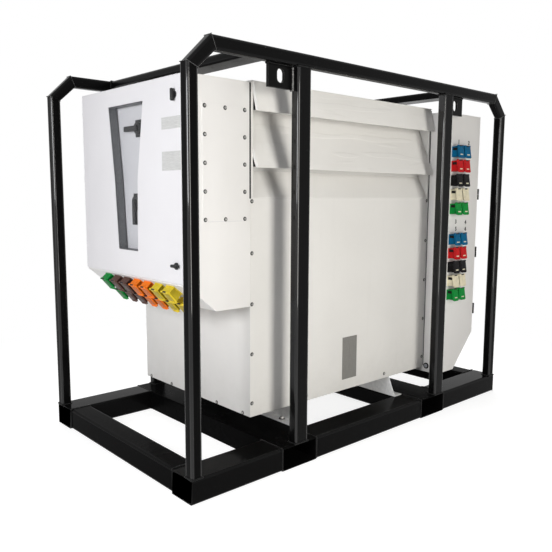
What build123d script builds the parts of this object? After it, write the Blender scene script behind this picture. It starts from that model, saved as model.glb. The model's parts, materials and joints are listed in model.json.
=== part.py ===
from build123d import *
import math
import os

os.makedirs("parts", exist_ok=True)

# Skid-mounted power transformer: a welded tube cage around a ventilated steel housing,
# with an input cabinet on the left end and an output cabinet on the right end.
# Millimetres, X along the length, Y to the back, Z up, origin at the middle of the footprint.

# Welded tube cage
frame_length = 2182.0
frame_width = 1219.0
frame_height = 1747.0
base_height = 101.6
rail_width = 143.0
base_wall = 6.0
end_tube_width = 101.6
end_tube_inset = 5.0
post_size = 50.0
mid_post_width = 76.0
mid_post_depth = 46.0
mid_post_spacing = 1036.0
top_rail_height = 54.0
corner_chamfer = 106.0
cross_rail_width = 115.0
cross_rail_height = 38.0
cross_rail_spacing = 1430.0
lug_width = 134.0
lug_height = 93.0
lug_thickness = 12.0
slot_width = 36.0
slot_height = 56.0
slot_drop = 43.0

# Fork pockets and the members that carry the housing
housing_center_x = -35.0
pocket_width = 204.0
pocket_spacing = 989.0
carrier_width = 64.0
carrier_height = 86.0

# Housing
sheet = 3.0
housing_length = 1268.0
housing_bottom = 204.0
housing_top_gap = 107.0
hood_setback = 135.5
hood_reach = 36.0
recess_depth = 70.0
upper_hood_run = 31.0
upper_hood_height = 118.0
lower_hood_height = 242.0
hood_lap = 10.0
vent_gap = 11.0
panel_bend_height = 116.0
hood_left_gap = 12.0
hood_right_gap = 3.0
foot_flange = 60.0
foot_sheet = 5.0
foot_lap = 16.5
plate_width = 106.0
plate_height = 215.0
plate_offset_x = 9.0
plate_center_z = 366.0
plate_thickness = 1.5

# Input cabinet
input_depth = 321.0
input_setback = 170.5
input_top_gap = 111.0
door_bottom = 816.0
door_thickness = 25.0
door_gap = 6.0
input_floor = 698.5
slope_foot_run = 141.0
dead_front_setback = 46.0
dead_front_margin = 5.0
cover_length = 226.0
cover_end_gap = 17.0
cover_rise = 245.0
cover_drop = 102.0
cover_thickness = 2.0
window_drop = 77.0
window_rise = 112.0
window_middle_share = 0.4945
window_top_back = 176.0
window_top_front = -127.0
window_middle_back = 133.0
window_middle_front = -73.0
window_bottom_back = 108.0
window_bottom_front = -63.0
trim_sheet = 3.0
trim_depth = 38.0
trim_lip = 2.0
pane_thickness = 4.0
pane_setback = 5.0
latch_side = 68.0
upper_latch_drop = 78.0
lower_latch_rise = 74.0
latch_radius = 14.0
latch_disc = 6.0
latch_wing_length = 48.0
latch_wing_width = 13.0
latch_wing_height = 14.0
pin_gap = 0.5
upper_handle_y = -25.0
upper_handle_share = 0.8384
lower_handle_y = 4.0
lower_handle_share = 0.336
escutcheon_size = 74.0
escutcheon_thickness = 4.0
handle_hub_radius = 26.0
handle_hub_height = 14.0
handle_lever_length = 100.0
handle_lever_width = 22.0
handle_lever_height = 12.0
handle_lever_overlap = 4.0

# Door hinges
hinge_radius = 9.0
hinge_gap = 0.3
knuckle_height = 30.0
knuckle_gap = 1.0
input_hinge_share = 0.366
output_hinge_share = 0.274
output_hinge_middle_share = 0.377

# Output cabinet
output_depth = 345.0
output_setback = 73.5
output_top_gap = 126.0
output_floor = 180.0
output_slope_run = 185.0
output_slope_top = 378.0
output_door_rise = 12.0
inner_panel_setback = 70.0
inner_panel_margin = 8.0
bank_plate_offset = 127.5
bank_plate_width = 190.0
bank_plate_height = 935.0
bank_plate_drop = 126.0
plug_radius = 17.0
plug_height = 6.0
plug_side = 70.0
plug_rise = 36.0

# Receptacles with flip covers
socket_width = 58.0
socket_body_width = 48.0
socket_height = 58.0
socket_flange = 4.0
socket_base_height = 52.0
socket_top_reach = 36.0
socket_bottom_reach = 46.0
socket_top_lift = 6.0
socket_bottom_drop = 4.0
socket_cover = 4.0
input_column_margin = 170.5
input_column_shift = 20.0
input_row_pitch = 90.0
output_column_pitch = 67.0
output_row_pitch = 77.5
output_bank_pitch = 478.0
output_first_row_drop = 81.0
input_columns = 7

# Derived positions
half_length = frame_length / 2
half_width = frame_width / 2
rail_inner = half_width - rail_width
pocket_half = pocket_width / 2
left_pocket_x = housing_center_x - pocket_spacing / 2
right_pocket_x = housing_center_x + pocket_spacing / 2
mid_post_x = mid_post_spacing / 2
top_rail_inner = half_width - mid_post_depth
top_rail_bottom = frame_height - top_rail_height
mitre_share = math.tan(math.radians(22.5))
housing_left = housing_center_x - housing_length / 2
housing_right = housing_center_x + housing_length / 2
hood_half = half_width - hood_setback
roof_half = hood_half - upper_hood_run
panel_half = hood_half - hood_reach
recess_half = panel_half - recess_depth
hood_run = hood_half - recess_half
foot_half = rail_inner + foot_lap
housing_top = frame_height - housing_top_gap
upper_hood_bottom = housing_top - upper_hood_height
lower_hood_top = upper_hood_bottom + hood_lap
lower_hood_bottom = lower_hood_top - lower_hood_height
panel_top = lower_hood_bottom - vent_gap
panel_bend = panel_top - panel_bend_height
plate_center_x = housing_center_x + plate_offset_x
input_face = housing_left - input_depth
input_half = half_width - input_setback
input_top = frame_height - input_top_gap
input_door_height = input_top - door_bottom
cover_right = housing_left - cover_end_gap
cover_left = cover_right - cover_length
side_cover_top = input_top - cover_drop
side_cover_bottom = door_bottom + cover_rise
window_top = input_top - window_drop
window_bottom = door_bottom + window_rise
window_height = window_top - window_bottom
window_middle = window_bottom + window_height * window_middle_share
latch_y = latch_side - input_half
upper_latch_z = input_top - upper_latch_drop
lower_latch_z = door_bottom + lower_latch_rise
upper_handle_z = window_bottom + window_height * upper_handle_share
lower_handle_z = window_bottom + window_height * lower_handle_share
input_hinge_middle = door_bottom + input_door_height / 2
input_hinge_spacing = input_door_height * input_hinge_share
output_face = housing_right + output_depth
output_half = half_width - output_setback
output_top = frame_height - output_top_gap
bank_plate_center_x = housing_right + bank_plate_offset
bank_plate_top = output_top - bank_plate_drop
bank_plate_bottom = bank_plate_top - bank_plate_height
output_first_row_z = bank_plate_top - output_first_row_drop
plug_y = plug_side - output_half
plug_z = output_floor + plug_rise


def slab(x_lo, x_hi, y_lo, y_hi, z_lo, z_hi, mode=Mode.ADD):
    """A box between two corners, added to the sub-part being built."""
    with Locations(((x_lo + x_hi) / 2, (y_lo + y_hi) / 2, (z_lo + z_hi) / 2)):
        Box(x_hi - x_lo, y_hi - y_lo, z_hi - z_lo, mode=mode)


def inset(outline, amount):
    """A closed outline with every edge moved inwards by the amount."""
    count = len(outline)
    area = 0
    for index in range(count):
        ay, az = outline[index]
        by, bz = outline[(index + 1) % count]
        area += ay * bz - by * az
    turn = 1 if area > 0 else -1
    corners = []
    for index in range(count):
        py, pz = outline[index - 1]
        cy, cz = outline[index]
        ny, nz = outline[(index + 1) % count]
        before = math.hypot(cy - py, cz - pz)
        after = math.hypot(ny - cy, nz - cz)
        ay, az = (cy - py) / before, (cz - pz) / before
        by, bz = (ny - cy) / after, (nz - cz) / after
        reach = turn * amount / (1 + ay * by + az * bz)
        corners.append((cy - reach * (az + bz), cz + reach * (ay + by)))
    return corners


def save(builder, name):
    """Label one sub-part and write its STEP file."""
    builder.part.label = name
    export_step(builder.part, f"parts/{name}.step")


# Base rails, open rectangular tubes cut by the fork pockets
rail_spans = (
    (-half_length, left_pocket_x - pocket_half),
    (left_pocket_x + pocket_half, right_pocket_x - pocket_half),
    (right_pocket_x + pocket_half, half_length),
)


def base_rail(name, y_lo, y_hi):
    with BuildPart() as rail:
        for x_lo, x_hi in rail_spans:
            slab(x_lo, x_hi, y_lo, y_hi, 0, base_height)
            slab(x_lo, x_hi, y_lo + base_wall, y_hi - base_wall, base_wall, base_height - base_wall, Mode.SUBTRACT)
    save(rail, name)


base_rail("front_base_rail", -half_width, -rail_inner)
base_rail("back_base_rail", rail_inner, half_width)

# End tubes between the rails
with BuildPart() as base_end_tubes:
    for side in (-1, 1):
        outer_x = side * (half_length - end_tube_inset)
        inner_x = outer_x - side * end_tube_width
        slab(min(outer_x, inner_x), max(outer_x, inner_x), -rail_inner, rail_inner, 0, base_height)
save(base_end_tubes, "base_end_tubes")


# Fork pockets, open right through the skid
def fork_pocket(name, center_x):
    inner = pocket_half - base_wall
    with BuildPart() as pocket:
        slab(center_x - pocket_half, center_x + pocket_half, -half_width, half_width, 0, base_height)
        slab(center_x - inner, center_x + inner, -half_width, half_width,
             base_wall, base_height - base_wall, Mode.SUBTRACT)
    save(pocket, name)


fork_pocket("left_fork_pocket", left_pocket_x)
fork_pocket("right_fork_pocket", right_pocket_x)

# Carriers beside the pockets, under the housing's feet
carrier_left = left_pocket_x + pocket_half
carrier_right = right_pocket_x - pocket_half
with BuildPart() as housing_carriers:
    slab(carrier_left, carrier_left + carrier_width, -rail_inner, rail_inner,
         base_height - carrier_height, base_height)
    slab(carrier_right - carrier_width, carrier_right, -rail_inner, rail_inner,
         base_height - carrier_height, base_height)
save(housing_carriers, "housing_carriers")

# Corner posts with mitred heads
post_head_outer = frame_height - corner_chamfer
post_head_inner = post_head_outer - post_size * mitre_share
with BuildPart() as corner_posts:
    for side in (-1, 1):
        outer_x = side * half_length
        inner_x = side * (half_length - post_size)
        for back in (-1, 1):
            near_y = back * (half_width - post_size)
            far_y = back * half_width
            with BuildSketch(Plane.XZ.offset(-min(near_y, far_y))):
                Polygon(
                    (outer_x, base_height),
                    (outer_x, post_head_outer),
                    (inner_x, post_head_inner),
                    (inner_x, base_height),
                    align=None,
                )
            extrude(amount=-post_size)
save(corner_posts, "corner_posts")

# Slanted braces at the top corners
rail_end_outer = half_length - corner_chamfer
rail_end_inner = rail_end_outer - top_rail_height * mitre_share
with BuildPart() as corner_braces:
    for side in (-1, 1):
        for back in (-1, 1):
            near_y = back * (half_width - mid_post_depth)
            far_y = back * half_width
            with BuildSketch(Plane.XZ.offset(-min(near_y, far_y))):
                Polygon(
                    (side * half_length, post_head_outer),
                    (side * rail_end_outer, frame_height),
                    (side * rail_end_inner, top_rail_bottom),
                    (side * (half_length - post_size), post_head_inner),
                    align=None,
                )
            extrude(amount=-mid_post_depth)
save(corner_braces, "corner_braces")

# Top rails along the front and back
with BuildPart() as top_rails:
    for y_lo in (-half_width, top_rail_inner):
        with BuildSketch(Plane.XZ.offset(-y_lo)):
            Polygon(
                (-rail_end_outer, frame_height),
                (rail_end_outer, frame_height),
                (rail_end_inner, top_rail_bottom),
                (-rail_end_inner, top_rail_bottom),
                align=None,
            )
        extrude(amount=-mid_post_depth)
save(top_rails, "top_rails")

# Middle posts
with BuildPart() as middle_posts:
    for side in (-1, 1):
        for y_lo in (-half_width, top_rail_inner):
            slab(side * mid_post_x - mid_post_width / 2, side * mid_post_x + mid_post_width / 2,
                 y_lo, y_lo + mid_post_depth, base_height, top_rail_bottom)
save(middle_posts, "middle_posts")

# Cross rails over the top
with BuildPart() as top_cross_rails:
    for side in (-1, 1):
        rail_x = side * cross_rail_spacing / 2
        slab(rail_x - cross_rail_width / 2, rail_x + cross_rail_width / 2, -top_rail_inner, top_rail_inner,
             frame_height - cross_rail_height, frame_height)
save(top_cross_rails, "top_cross_rails")


# Lifting lugs in the corners between top rails and middle posts, each with a long slot
def lug_pair(name, y_lo):
    with BuildPart() as lugs:
        for side in (-1, 1):
            lug_x = side * (mid_post_x + mid_post_width / 2 + lug_width / 2)
            slab(lug_x - lug_width / 2, lug_x + lug_width / 2, y_lo, y_lo + lug_thickness,
                 top_rail_bottom - lug_height, top_rail_bottom)
            with BuildSketch(Plane.XZ.offset(-y_lo)):
                with Locations((lug_x, top_rail_bottom - slot_drop)):
                    SlotOverall(slot_height, slot_width, rotation=90)
            extrude(amount=-lug_thickness, mode=Mode.SUBTRACT)
    save(lugs, name)


lug_pair("front_lifting_lugs", -top_rail_inner - lug_thickness)
lug_pair("back_lifting_lugs", top_rail_inner)

# Angle feet of the housing, sloped at both ends
with BuildPart() as housing_feet:
    for edge_x, side in ((carrier_left + carrier_width, -1), (carrier_right - carrier_width, 1)):
        web_far = edge_x + side * foot_sheet
        flange_far = edge_x + side * foot_flange
        with BuildSketch(Plane.YZ.offset(min(edge_x, web_far))):
            Polygon(
                (-foot_half, base_height),
                (-panel_half, housing_bottom),
                (panel_half, housing_bottom),
                (foot_half, base_height),
                align=None,
            )
        extrude(amount=foot_sheet)
        slab(min(edge_x, flange_far), max(edge_x, flange_far), -foot_half, foot_half,
             base_height, base_height + foot_sheet)
save(housing_feet, "housing_feet")

# Housing block behind the panels: a closed machine housing, narrower behind the vent hoods
bend_back = sheet * (panel_top - panel_bend) / (panel_half - recess_half)
block_top = panel_top - bend_back
with BuildPart() as transformer_housing:
    with BuildSketch(Plane.YZ.offset(housing_left + sheet)):
        Polygon(
            (-panel_half + sheet, housing_bottom),
            (-panel_half + sheet, panel_bend),
            (-recess_half, block_top),
            (-recess_half, housing_top),
            (recess_half, housing_top),
            (recess_half, block_top),
            (panel_half - sheet, panel_bend),
            (panel_half - sheet, housing_bottom),
            align=None,
        )
    extrude(amount=housing_length - sheet - sheet)
save(transformer_housing, "transformer_housing")

# End walls
with BuildPart() as housing_end_walls:
    slab(housing_left, housing_left + sheet, -panel_half, panel_half, housing_bottom, housing_top)
    slab(housing_right - sheet, housing_right, -panel_half, panel_half, housing_bottom, housing_top)
save(housing_end_walls, "housing_end_walls")


# Large flat panels, bent inwards at the top
def side_panel(name, side):
    with BuildPart() as panel:
        with BuildSketch(Plane.YZ.offset(housing_left + sheet)):
            Polygon(
                (side * panel_half, housing_bottom),
                (side * panel_half, panel_bend),
                (side * recess_half, panel_top),
                (side * recess_half, block_top),
                (side * (panel_half - sheet), panel_bend),
                (side * (panel_half - sheet), housing_bottom),
                align=None,
            )
        extrude(amount=housing_length - sheet - sheet)
    save(panel, name)


side_panel("front_panel", -1)
side_panel("back_panel", 1)

# Vent hoods, two sloped sheets one above the other
lower_hood_fall = sheet * (lower_hood_top - lower_hood_bottom) / hood_run
hood_left = housing_left + sheet + hood_left_gap
hood_length = housing_length - sheet - sheet - hood_left_gap - hood_right_gap


def vent_hoods(name, side):
    with BuildPart() as hoods:
        with BuildSketch(Plane.YZ.offset(hood_left)):
            Polygon(
                (side * hood_half, upper_hood_bottom),
                (side * roof_half, housing_top),
                (side * (roof_half - sheet), housing_top),
                (side * (hood_half - sheet), upper_hood_bottom),
                align=None,
            )
            Polygon(
                (side * hood_half, lower_hood_bottom),
                (side * recess_half, lower_hood_top),
                (side * recess_half, lower_hood_top - lower_hood_fall),
                (side * (hood_half - sheet), lower_hood_bottom),
                align=None,
            )
        extrude(amount=hood_length)
    save(hoods, name)


vent_hoods("front_vent_hoods", -1)
vent_hoods("back_vent_hoods", 1)

# Roof sheet
with BuildPart() as housing_roof:
    slab(housing_left, housing_right, -roof_half - sheet, roof_half + sheet, housing_top, housing_top + sheet)
save(housing_roof, "housing_roof")

# Plain metal plate on the front panel
with BuildPart() as rating_plate:
    slab(plate_center_x - plate_width / 2, plate_center_x + plate_width / 2,
         -panel_half - plate_thickness, -panel_half,
         plate_center_z - plate_height / 2, plate_center_z + plate_height / 2)
save(rating_plate, "rating_plate")

# Input cabinet shell: open towards the door, with a sloped underside for the receptacles
input_rim = input_face + door_thickness + door_gap
sill_top = door_bottom - door_gap
sill_edge = input_face + door_gap
slope_foot = input_face + slope_foot_run
slope_run = slope_foot - sill_edge
slope_rise = sill_top - input_floor
slope_length = math.hypot(slope_run, slope_rise)
slope_out_x_share = -slope_rise / slope_length
slope_out_z_share = -slope_run / slope_length
inner_top_z = sill_top - sheet
inner_floor_z = input_floor + sheet
inner_shift = sheet * slope_length / slope_rise
sill_inner_x = sill_edge + inner_shift + sheet * slope_run / slope_rise
foot_inner_x = slope_foot + inner_shift - sheet * slope_run / slope_rise
with BuildPart() as input_cabinet:
    with BuildSketch(Plane.XZ):
        Polygon(
            (input_rim, input_top),
            (input_rim, sill_top),
            (sill_edge, sill_top),
            (slope_foot, input_floor),
            (housing_left, input_floor),
            (housing_left, input_top),
            align=None,
        )
    extrude(amount=input_half, both=True)
    with BuildSketch(Plane.XZ):
        Polygon(
            (input_rim, input_top - sheet),
            (input_rim, sill_top),
            (input_rim, inner_top_z),
            (sill_inner_x, inner_top_z),
            (foot_inner_x, inner_floor_z),
            (housing_left - sheet, inner_floor_z),
            (housing_left - sheet, input_top - sheet),
            align=None,
        )
    extrude(amount=input_half - sheet, both=True, mode=Mode.SUBTRACT)
save(input_cabinet, "input_cabinet")

# Bolted covers on both sides of the input cabinet
with BuildPart() as input_side_covers:
    slab(cover_left, cover_right, -input_half - cover_thickness, -input_half, side_cover_bottom, side_cover_top)
    slab(cover_left, cover_right, input_half, input_half + cover_thickness, side_cover_bottom, side_cover_top)
save(input_side_covers, "input_side_covers")

# Dead front behind the door
dead_front_x = input_face + dead_front_setback
with BuildPart() as input_dead_front:
    slab(dead_front_x, dead_front_x + sheet, -input_half + sheet, input_half - sheet,
         sill_top + dead_front_margin, input_top - sheet)
save(input_dead_front, "input_dead_front")

# Input door with a tapered window
window_outline = (
    (window_top_back, window_top),
    (window_middle_back, window_middle),
    (window_bottom_back, window_bottom),
    (window_bottom_front, window_bottom),
    (window_middle_front, window_middle),
    (window_top_front, window_top),
)
with BuildPart() as input_door:
    slab(input_face, input_face + door_thickness, -input_half, input_half, door_bottom, input_top)
    with BuildSketch(Plane.YZ.offset(input_face)):
        Polygon(*window_outline, align=None)
    extrude(amount=door_thickness, mode=Mode.SUBTRACT)
save(input_door, "input_door")

# Deep dark trim around the window
with BuildPart() as input_window_trim:
    with BuildSketch(Plane.YZ.offset(input_face + trim_lip)):
        Polygon(*window_outline, align=None)
        Polygon(*inset(window_outline, trim_sheet), align=None, mode=Mode.SUBTRACT)
    extrude(amount=trim_depth)
save(input_window_trim, "input_window_trim")

# Clear pane in the trim
with BuildPart() as input_window_pane:
    with BuildSketch(Plane.YZ.offset(input_face + pane_setback)):
        Polygon(*inset(window_outline, trim_sheet), align=None)
    extrude(amount=pane_thickness)
save(input_window_pane, "input_window_pane")


# Quarter-turn latches on the door
def latch(name, center_z, wing_y, wing_z):
    with BuildPart() as knob:
        with BuildSketch(Plane.YZ.offset(input_face - pin_gap)):
            with Locations((latch_y, center_z)):
                Circle(latch_radius)
        extrude(amount=-latch_disc)
        slab(input_face - pin_gap - latch_disc - latch_wing_height, input_face - pin_gap - latch_disc,
             latch_y - wing_y / 2, latch_y + wing_y / 2, center_z - wing_z / 2, center_z + wing_z / 2)
    save(knob, name)


latch("upper_door_latch", upper_latch_z, latch_wing_width, latch_wing_length)
latch("lower_door_latch", lower_latch_z, latch_wing_length, latch_wing_width)

# Black plates under the breaker handles
with BuildPart() as breaker_escutcheons:
    for center_y, center_z in ((upper_handle_y, upper_handle_z), (lower_handle_y, lower_handle_z)):
        slab(dead_front_x - escutcheon_thickness, dead_front_x,
             center_y - escutcheon_size / 2, center_y + escutcheon_size / 2,
             center_z - escutcheon_size / 2, center_z + escutcheon_size / 2)
save(breaker_escutcheons, "breaker_escutcheons")

# Rotary breaker handles, the upper one lying towards the back and the lower one hanging down
hub_base = dead_front_x - escutcheon_thickness - pin_gap
lever_base = hub_base - handle_hub_height + handle_lever_overlap


def breaker_handle(name, center_y, center_z, y_lo, y_hi, z_lo, z_hi):
    with BuildPart() as handle:
        with BuildSketch(Plane.YZ.offset(hub_base)):
            with Locations((center_y, center_z)):
                Circle(handle_hub_radius)
        extrude(amount=-handle_hub_height)
        slab(lever_base - handle_lever_height, lever_base, y_lo, y_hi, z_lo, z_hi)
    save(handle, name)


lever_half = handle_lever_width / 2
breaker_handle("upper_breaker_handle", upper_handle_y, upper_handle_z,
               upper_handle_y - lever_half, upper_handle_y + handle_lever_length,
               upper_handle_z - lever_half, upper_handle_z + lever_half)
breaker_handle("lower_breaker_handle", lower_handle_y, lower_handle_z,
               lower_handle_y - lever_half, lower_handle_y + lever_half,
               lower_handle_z - handle_lever_length, lower_handle_z + lever_half)


# Lift-off barrel hinges: the lower knuckle stays on the cabinet, the upper one rides on the door
def knuckles(name, axis_x, axis_y, middle_z, spacing, start_z):
    with BuildPart() as barrels:
        for step in (-1, 0, 1):
            with BuildSketch(Plane.XY.offset(middle_z + step * spacing + start_z)):
                with Locations((axis_x, axis_y)):
                    Circle(hinge_radius)
            extrude(amount=knuckle_height)
    save(barrels, name)


input_axis_x = input_face + door_thickness + door_gap / 2
input_axis_y = input_half + hinge_radius + hinge_gap
knuckles("input_hinge_knuckles", input_axis_x, input_axis_y, input_hinge_middle, input_hinge_spacing,
         -knuckle_height - knuckle_gap / 2)
knuckles("input_door_knuckles", input_axis_x, input_axis_y, input_hinge_middle, input_hinge_spacing,
         knuckle_gap / 2)

# Output cabinet shell: open towards the door in its right end, sloped underneath
slope_start = output_face - output_slope_run
out_slope_rise = output_slope_top - output_floor
out_slope_length = math.hypot(output_slope_run, out_slope_rise)
out_shift = sheet * out_slope_length / out_slope_rise
out_inner_floor = output_floor + sheet
out_inner_foot = slope_start - out_shift + sheet * output_slope_run / out_slope_rise
out_inner_rise = (output_face - out_inner_foot) * out_slope_rise / output_slope_run
with BuildPart() as output_cabinet:
    with BuildSketch(Plane.XZ):
        Polygon(
            (housing_right, output_floor),
            (slope_start, output_floor),
            (output_face, output_slope_top),
            (output_face, output_top),
            (housing_right, output_top),
            align=None,
        )
    extrude(amount=output_half, both=True)
    with BuildSketch(Plane.XZ):
        Polygon(
            (housing_right + sheet, out_inner_floor),
            (out_inner_foot, out_inner_floor),
            (output_face, out_inner_floor + out_inner_rise),
            (output_face, output_top - sheet),
            (housing_right + sheet, output_top - sheet),
            align=None,
        )
    extrude(amount=output_half - sheet, both=True, mode=Mode.SUBTRACT)
save(output_cabinet, "output_cabinet")

# Output door, set into the cabinet's right end
output_door_half = output_half - sheet - door_gap
output_door_bottom = output_slope_top + output_door_rise
output_door_top = output_top - sheet - door_gap
with BuildPart() as output_door:
    slab(output_face - door_thickness, output_face, -output_door_half, output_door_half,
         output_door_bottom, output_door_top)
save(output_door, "output_door")

# Inner panel behind the output door
inner_panel_x = output_face - inner_panel_setback
with BuildPart() as output_inner_panel:
    slab(inner_panel_x - sheet, inner_panel_x, -output_half + sheet, output_half - sheet,
         output_door_bottom, output_door_top - inner_panel_margin)
save(output_inner_panel, "output_inner_panel")

output_axis_x = output_face + hinge_radius + hinge_gap
output_axis_y = -(output_half - sheet - door_gap / 2)
output_door_height = output_door_top - output_door_bottom
output_hinge_middle = output_door_bottom + output_door_height * output_hinge_middle_share
output_hinge_spacing = output_door_height * output_hinge_share
knuckles("output_hinge_knuckles", output_axis_x, output_axis_y, output_hinge_middle, output_hinge_spacing,
         -knuckle_height - knuckle_gap / 2)
knuckles("output_door_knuckles", output_axis_x, output_axis_y, output_hinge_middle, output_hinge_spacing,
         knuckle_gap / 2)

# Plate that carries the output receptacles
with BuildPart() as output_receptacle_plate:
    slab(bank_plate_center_x - bank_plate_width / 2, bank_plate_center_x + bank_plate_width / 2,
         -output_half - cover_thickness, -output_half, bank_plate_bottom, bank_plate_top)
save(output_receptacle_plate, "output_receptacle_plate")

# Round plug in the output cabinet's side
with BuildPart() as cabinet_plug:
    with BuildSketch(Plane.YZ.offset(housing_right)):
        with Locations((plug_y, plug_z)):
            Circle(plug_radius)
    extrude(amount=-plug_height)
save(cabinet_plug, "cabinet_plug")


# Receptacles: a flange, a narrower body and a bent flip cover over it, one sub-part per colour
base_half = socket_base_height / 2
cover_top = base_half + socket_top_lift
cover_low = -base_half - socket_bottom_drop
cover_fall_share = (socket_bottom_reach - socket_top_reach) / (cover_top - cover_low)
body_top_reach = socket_top_reach - socket_cover
body_low_reach = body_top_reach + (cover_top - socket_cover + base_half) * cover_fall_share
cover_outline = (
    (base_half, 0),
    (cover_top, socket_top_reach),
    (cover_low, socket_bottom_reach),
    (cover_low, socket_bottom_reach - socket_cover),
    (cover_top - socket_cover, body_top_reach),
    (base_half - socket_cover, 0),
)
body_outline = (
    (base_half - socket_cover, 0),
    (cover_top - socket_cover, body_top_reach),
    (-base_half, body_low_reach),
    (-base_half, 0),
)


def receptacles(name, plane, spots):
    with BuildPart() as group:
        with BuildSketch(plane):
            with Locations(*spots):
                Rectangle(socket_width, socket_height)
        extrude(amount=socket_flange)
        for across, up in spots:
            side_plane = Plane(
                origin=plane.from_local_coords((across, up, 0)),
                x_dir=plane.y_dir,
                z_dir=plane.x_dir,
            )
            with BuildSketch(side_plane):
                Polygon(*cover_outline, align=None)
            extrude(amount=socket_width / 2, both=True)
            with BuildSketch(side_plane):
                Polygon(*body_outline, align=None)
            extrude(amount=socket_body_width / 2, both=True)
    save(group, name)


slope_plane = Plane(
    origin=((sill_edge + slope_foot) / 2, 0, (sill_top + input_floor) / 2),
    x_dir=(0, -1, 0),
    z_dir=(slope_out_x_share, 0, slope_out_z_share),
)
column_middle = (input_columns - 1) / 2
input_column_pitch = (input_half - input_column_margin) / column_middle
input_colours = (("green", (0,)), ("brown", (1, 2)), ("orange", (3, 4)), ("yellow", (5, 6)))
for colour, columns in input_colours:
    spots = []
    for column in columns:
        for row in (1, -1):
            across = (column - column_middle) * input_column_pitch + input_column_shift
            spots.append((across, row * input_row_pitch / 2))
    receptacles(f"input_{colour}_receptacles", slope_plane, spots)

bank_plane = Plane(
    origin=(bank_plate_center_x, -output_half - cover_thickness, 0),
    x_dir=(1, 0, 0),
    z_dir=(0, -1, 0),
)
for row, colour in enumerate(("blue", "red", "black", "cream", "green")):
    spots = []
    for bank in (0, 1):
        row_z = output_first_row_z - bank * output_bank_pitch - row * output_row_pitch
        for side in (-1, 1):
            spots.append((side * output_column_pitch / 2, row_z))
    receptacles(f"output_{colour}_receptacles", bank_plane, spots)
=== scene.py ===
"""Looks of a skid-mounted power transformer, laid out as a Blender add-on and run as a script."""
import json
import math

import bmesh
import bpy
from mathutils import Matrix, Vector


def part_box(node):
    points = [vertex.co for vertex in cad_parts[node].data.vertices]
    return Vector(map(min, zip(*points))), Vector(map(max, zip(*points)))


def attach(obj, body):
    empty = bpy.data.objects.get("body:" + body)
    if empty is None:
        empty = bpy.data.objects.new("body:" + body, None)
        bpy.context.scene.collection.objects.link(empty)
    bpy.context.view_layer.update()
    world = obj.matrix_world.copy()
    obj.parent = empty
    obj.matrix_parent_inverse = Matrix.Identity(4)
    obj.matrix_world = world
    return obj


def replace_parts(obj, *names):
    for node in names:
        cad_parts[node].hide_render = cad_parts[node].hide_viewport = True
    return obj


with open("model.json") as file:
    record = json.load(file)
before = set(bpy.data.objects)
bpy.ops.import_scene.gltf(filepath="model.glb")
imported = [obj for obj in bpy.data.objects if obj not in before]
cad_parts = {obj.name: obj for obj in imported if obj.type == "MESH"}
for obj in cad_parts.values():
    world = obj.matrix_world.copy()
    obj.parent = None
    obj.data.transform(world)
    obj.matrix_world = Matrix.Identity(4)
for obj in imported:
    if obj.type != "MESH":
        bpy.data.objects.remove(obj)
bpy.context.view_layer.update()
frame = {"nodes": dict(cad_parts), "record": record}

bl_info = {
    "name": "Skid transformer looks",
    "version": (1, 0, 0),
    "blender": (4, 5, 0),
    "location": "3D View > Sidebar > Transformer",
    "description": "Finishes, welds, screws and stage for a skid-mounted power transformer",
    "category": "Object",
}

BODY_OF = {node: body for body, nodes in frame["record"]["behaviour"]["bodies"].items() for node in nodes}
SLOT_OF = {row["node"]: row["material_slot"] for row in frame["record"]["subparts"]}

ALONG_X, ALONG_Y, ALONG_Z = (1, 0, 0), (0, 1, 0), (0, 0, 1)
PANEL_BEND = 1.163  # height in metres at which the front and back panels start to slope
HOOD_DROP = 0.118  # metres from the roof down to the lower edge of the upper vent hood


# Settings

def length_prop(name, description, default, least=0.0):
    """A length in metres."""
    return bpy.props.FloatProperty(name=name, description=description, default=default, min=least, unit="LENGTH")


def colour_prop(name, description, default):
    """A linear colour."""
    return bpy.props.FloatVectorProperty(
        name=name, description=description, default=default, min=0.0, max=1.0, size=3, subtype="COLOR")


def power_prop(name, description, default):
    """The power of a lamp."""
    return bpy.props.FloatProperty(name=name, description=description, default=default, min=0.0, unit="POWER")


class SkidSettings(bpy.types.PropertyGroup):
    """Sizes and paint of the welded tube cage."""

    base_corner: length_prop("Base tube corner", "Outside corner radius of the heavy base tubes", 0.011)
    post_corner: length_prop("Post corner", "Outside corner radius of the posts and top rails", 0.0105)
    bead_radius: length_prop("Weld bead radius", "Half the width of a weld bead", 0.0042, 0.001)
    ripple_spacing: length_prop("Weld ripple spacing", "Distance between the ripples of a weld bead", 0.0052, 0.002)
    paint: colour_prop("Cage paint", "Black paint of the cage", (0.0034, 0.0034, 0.0035))
    dust: colour_prop("Dust", "Dust lying on level faces of the cage", (0.015, 0.0147, 0.0140))
    shine: bpy.props.FloatProperty(
        name="Post corner gloss", description="Share of clear gloss where paint thins over the corners of the posts",
        default=0.8, min=0.0, max=1.0, subtype="FACTOR")
    rail_shine: bpy.props.FloatProperty(
        name="Rail corner gloss", description="Share of clear gloss on the corners of the rails and base tubes",
        default=0.12, min=0.0, max=1.0, subtype="FACTOR")


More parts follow.
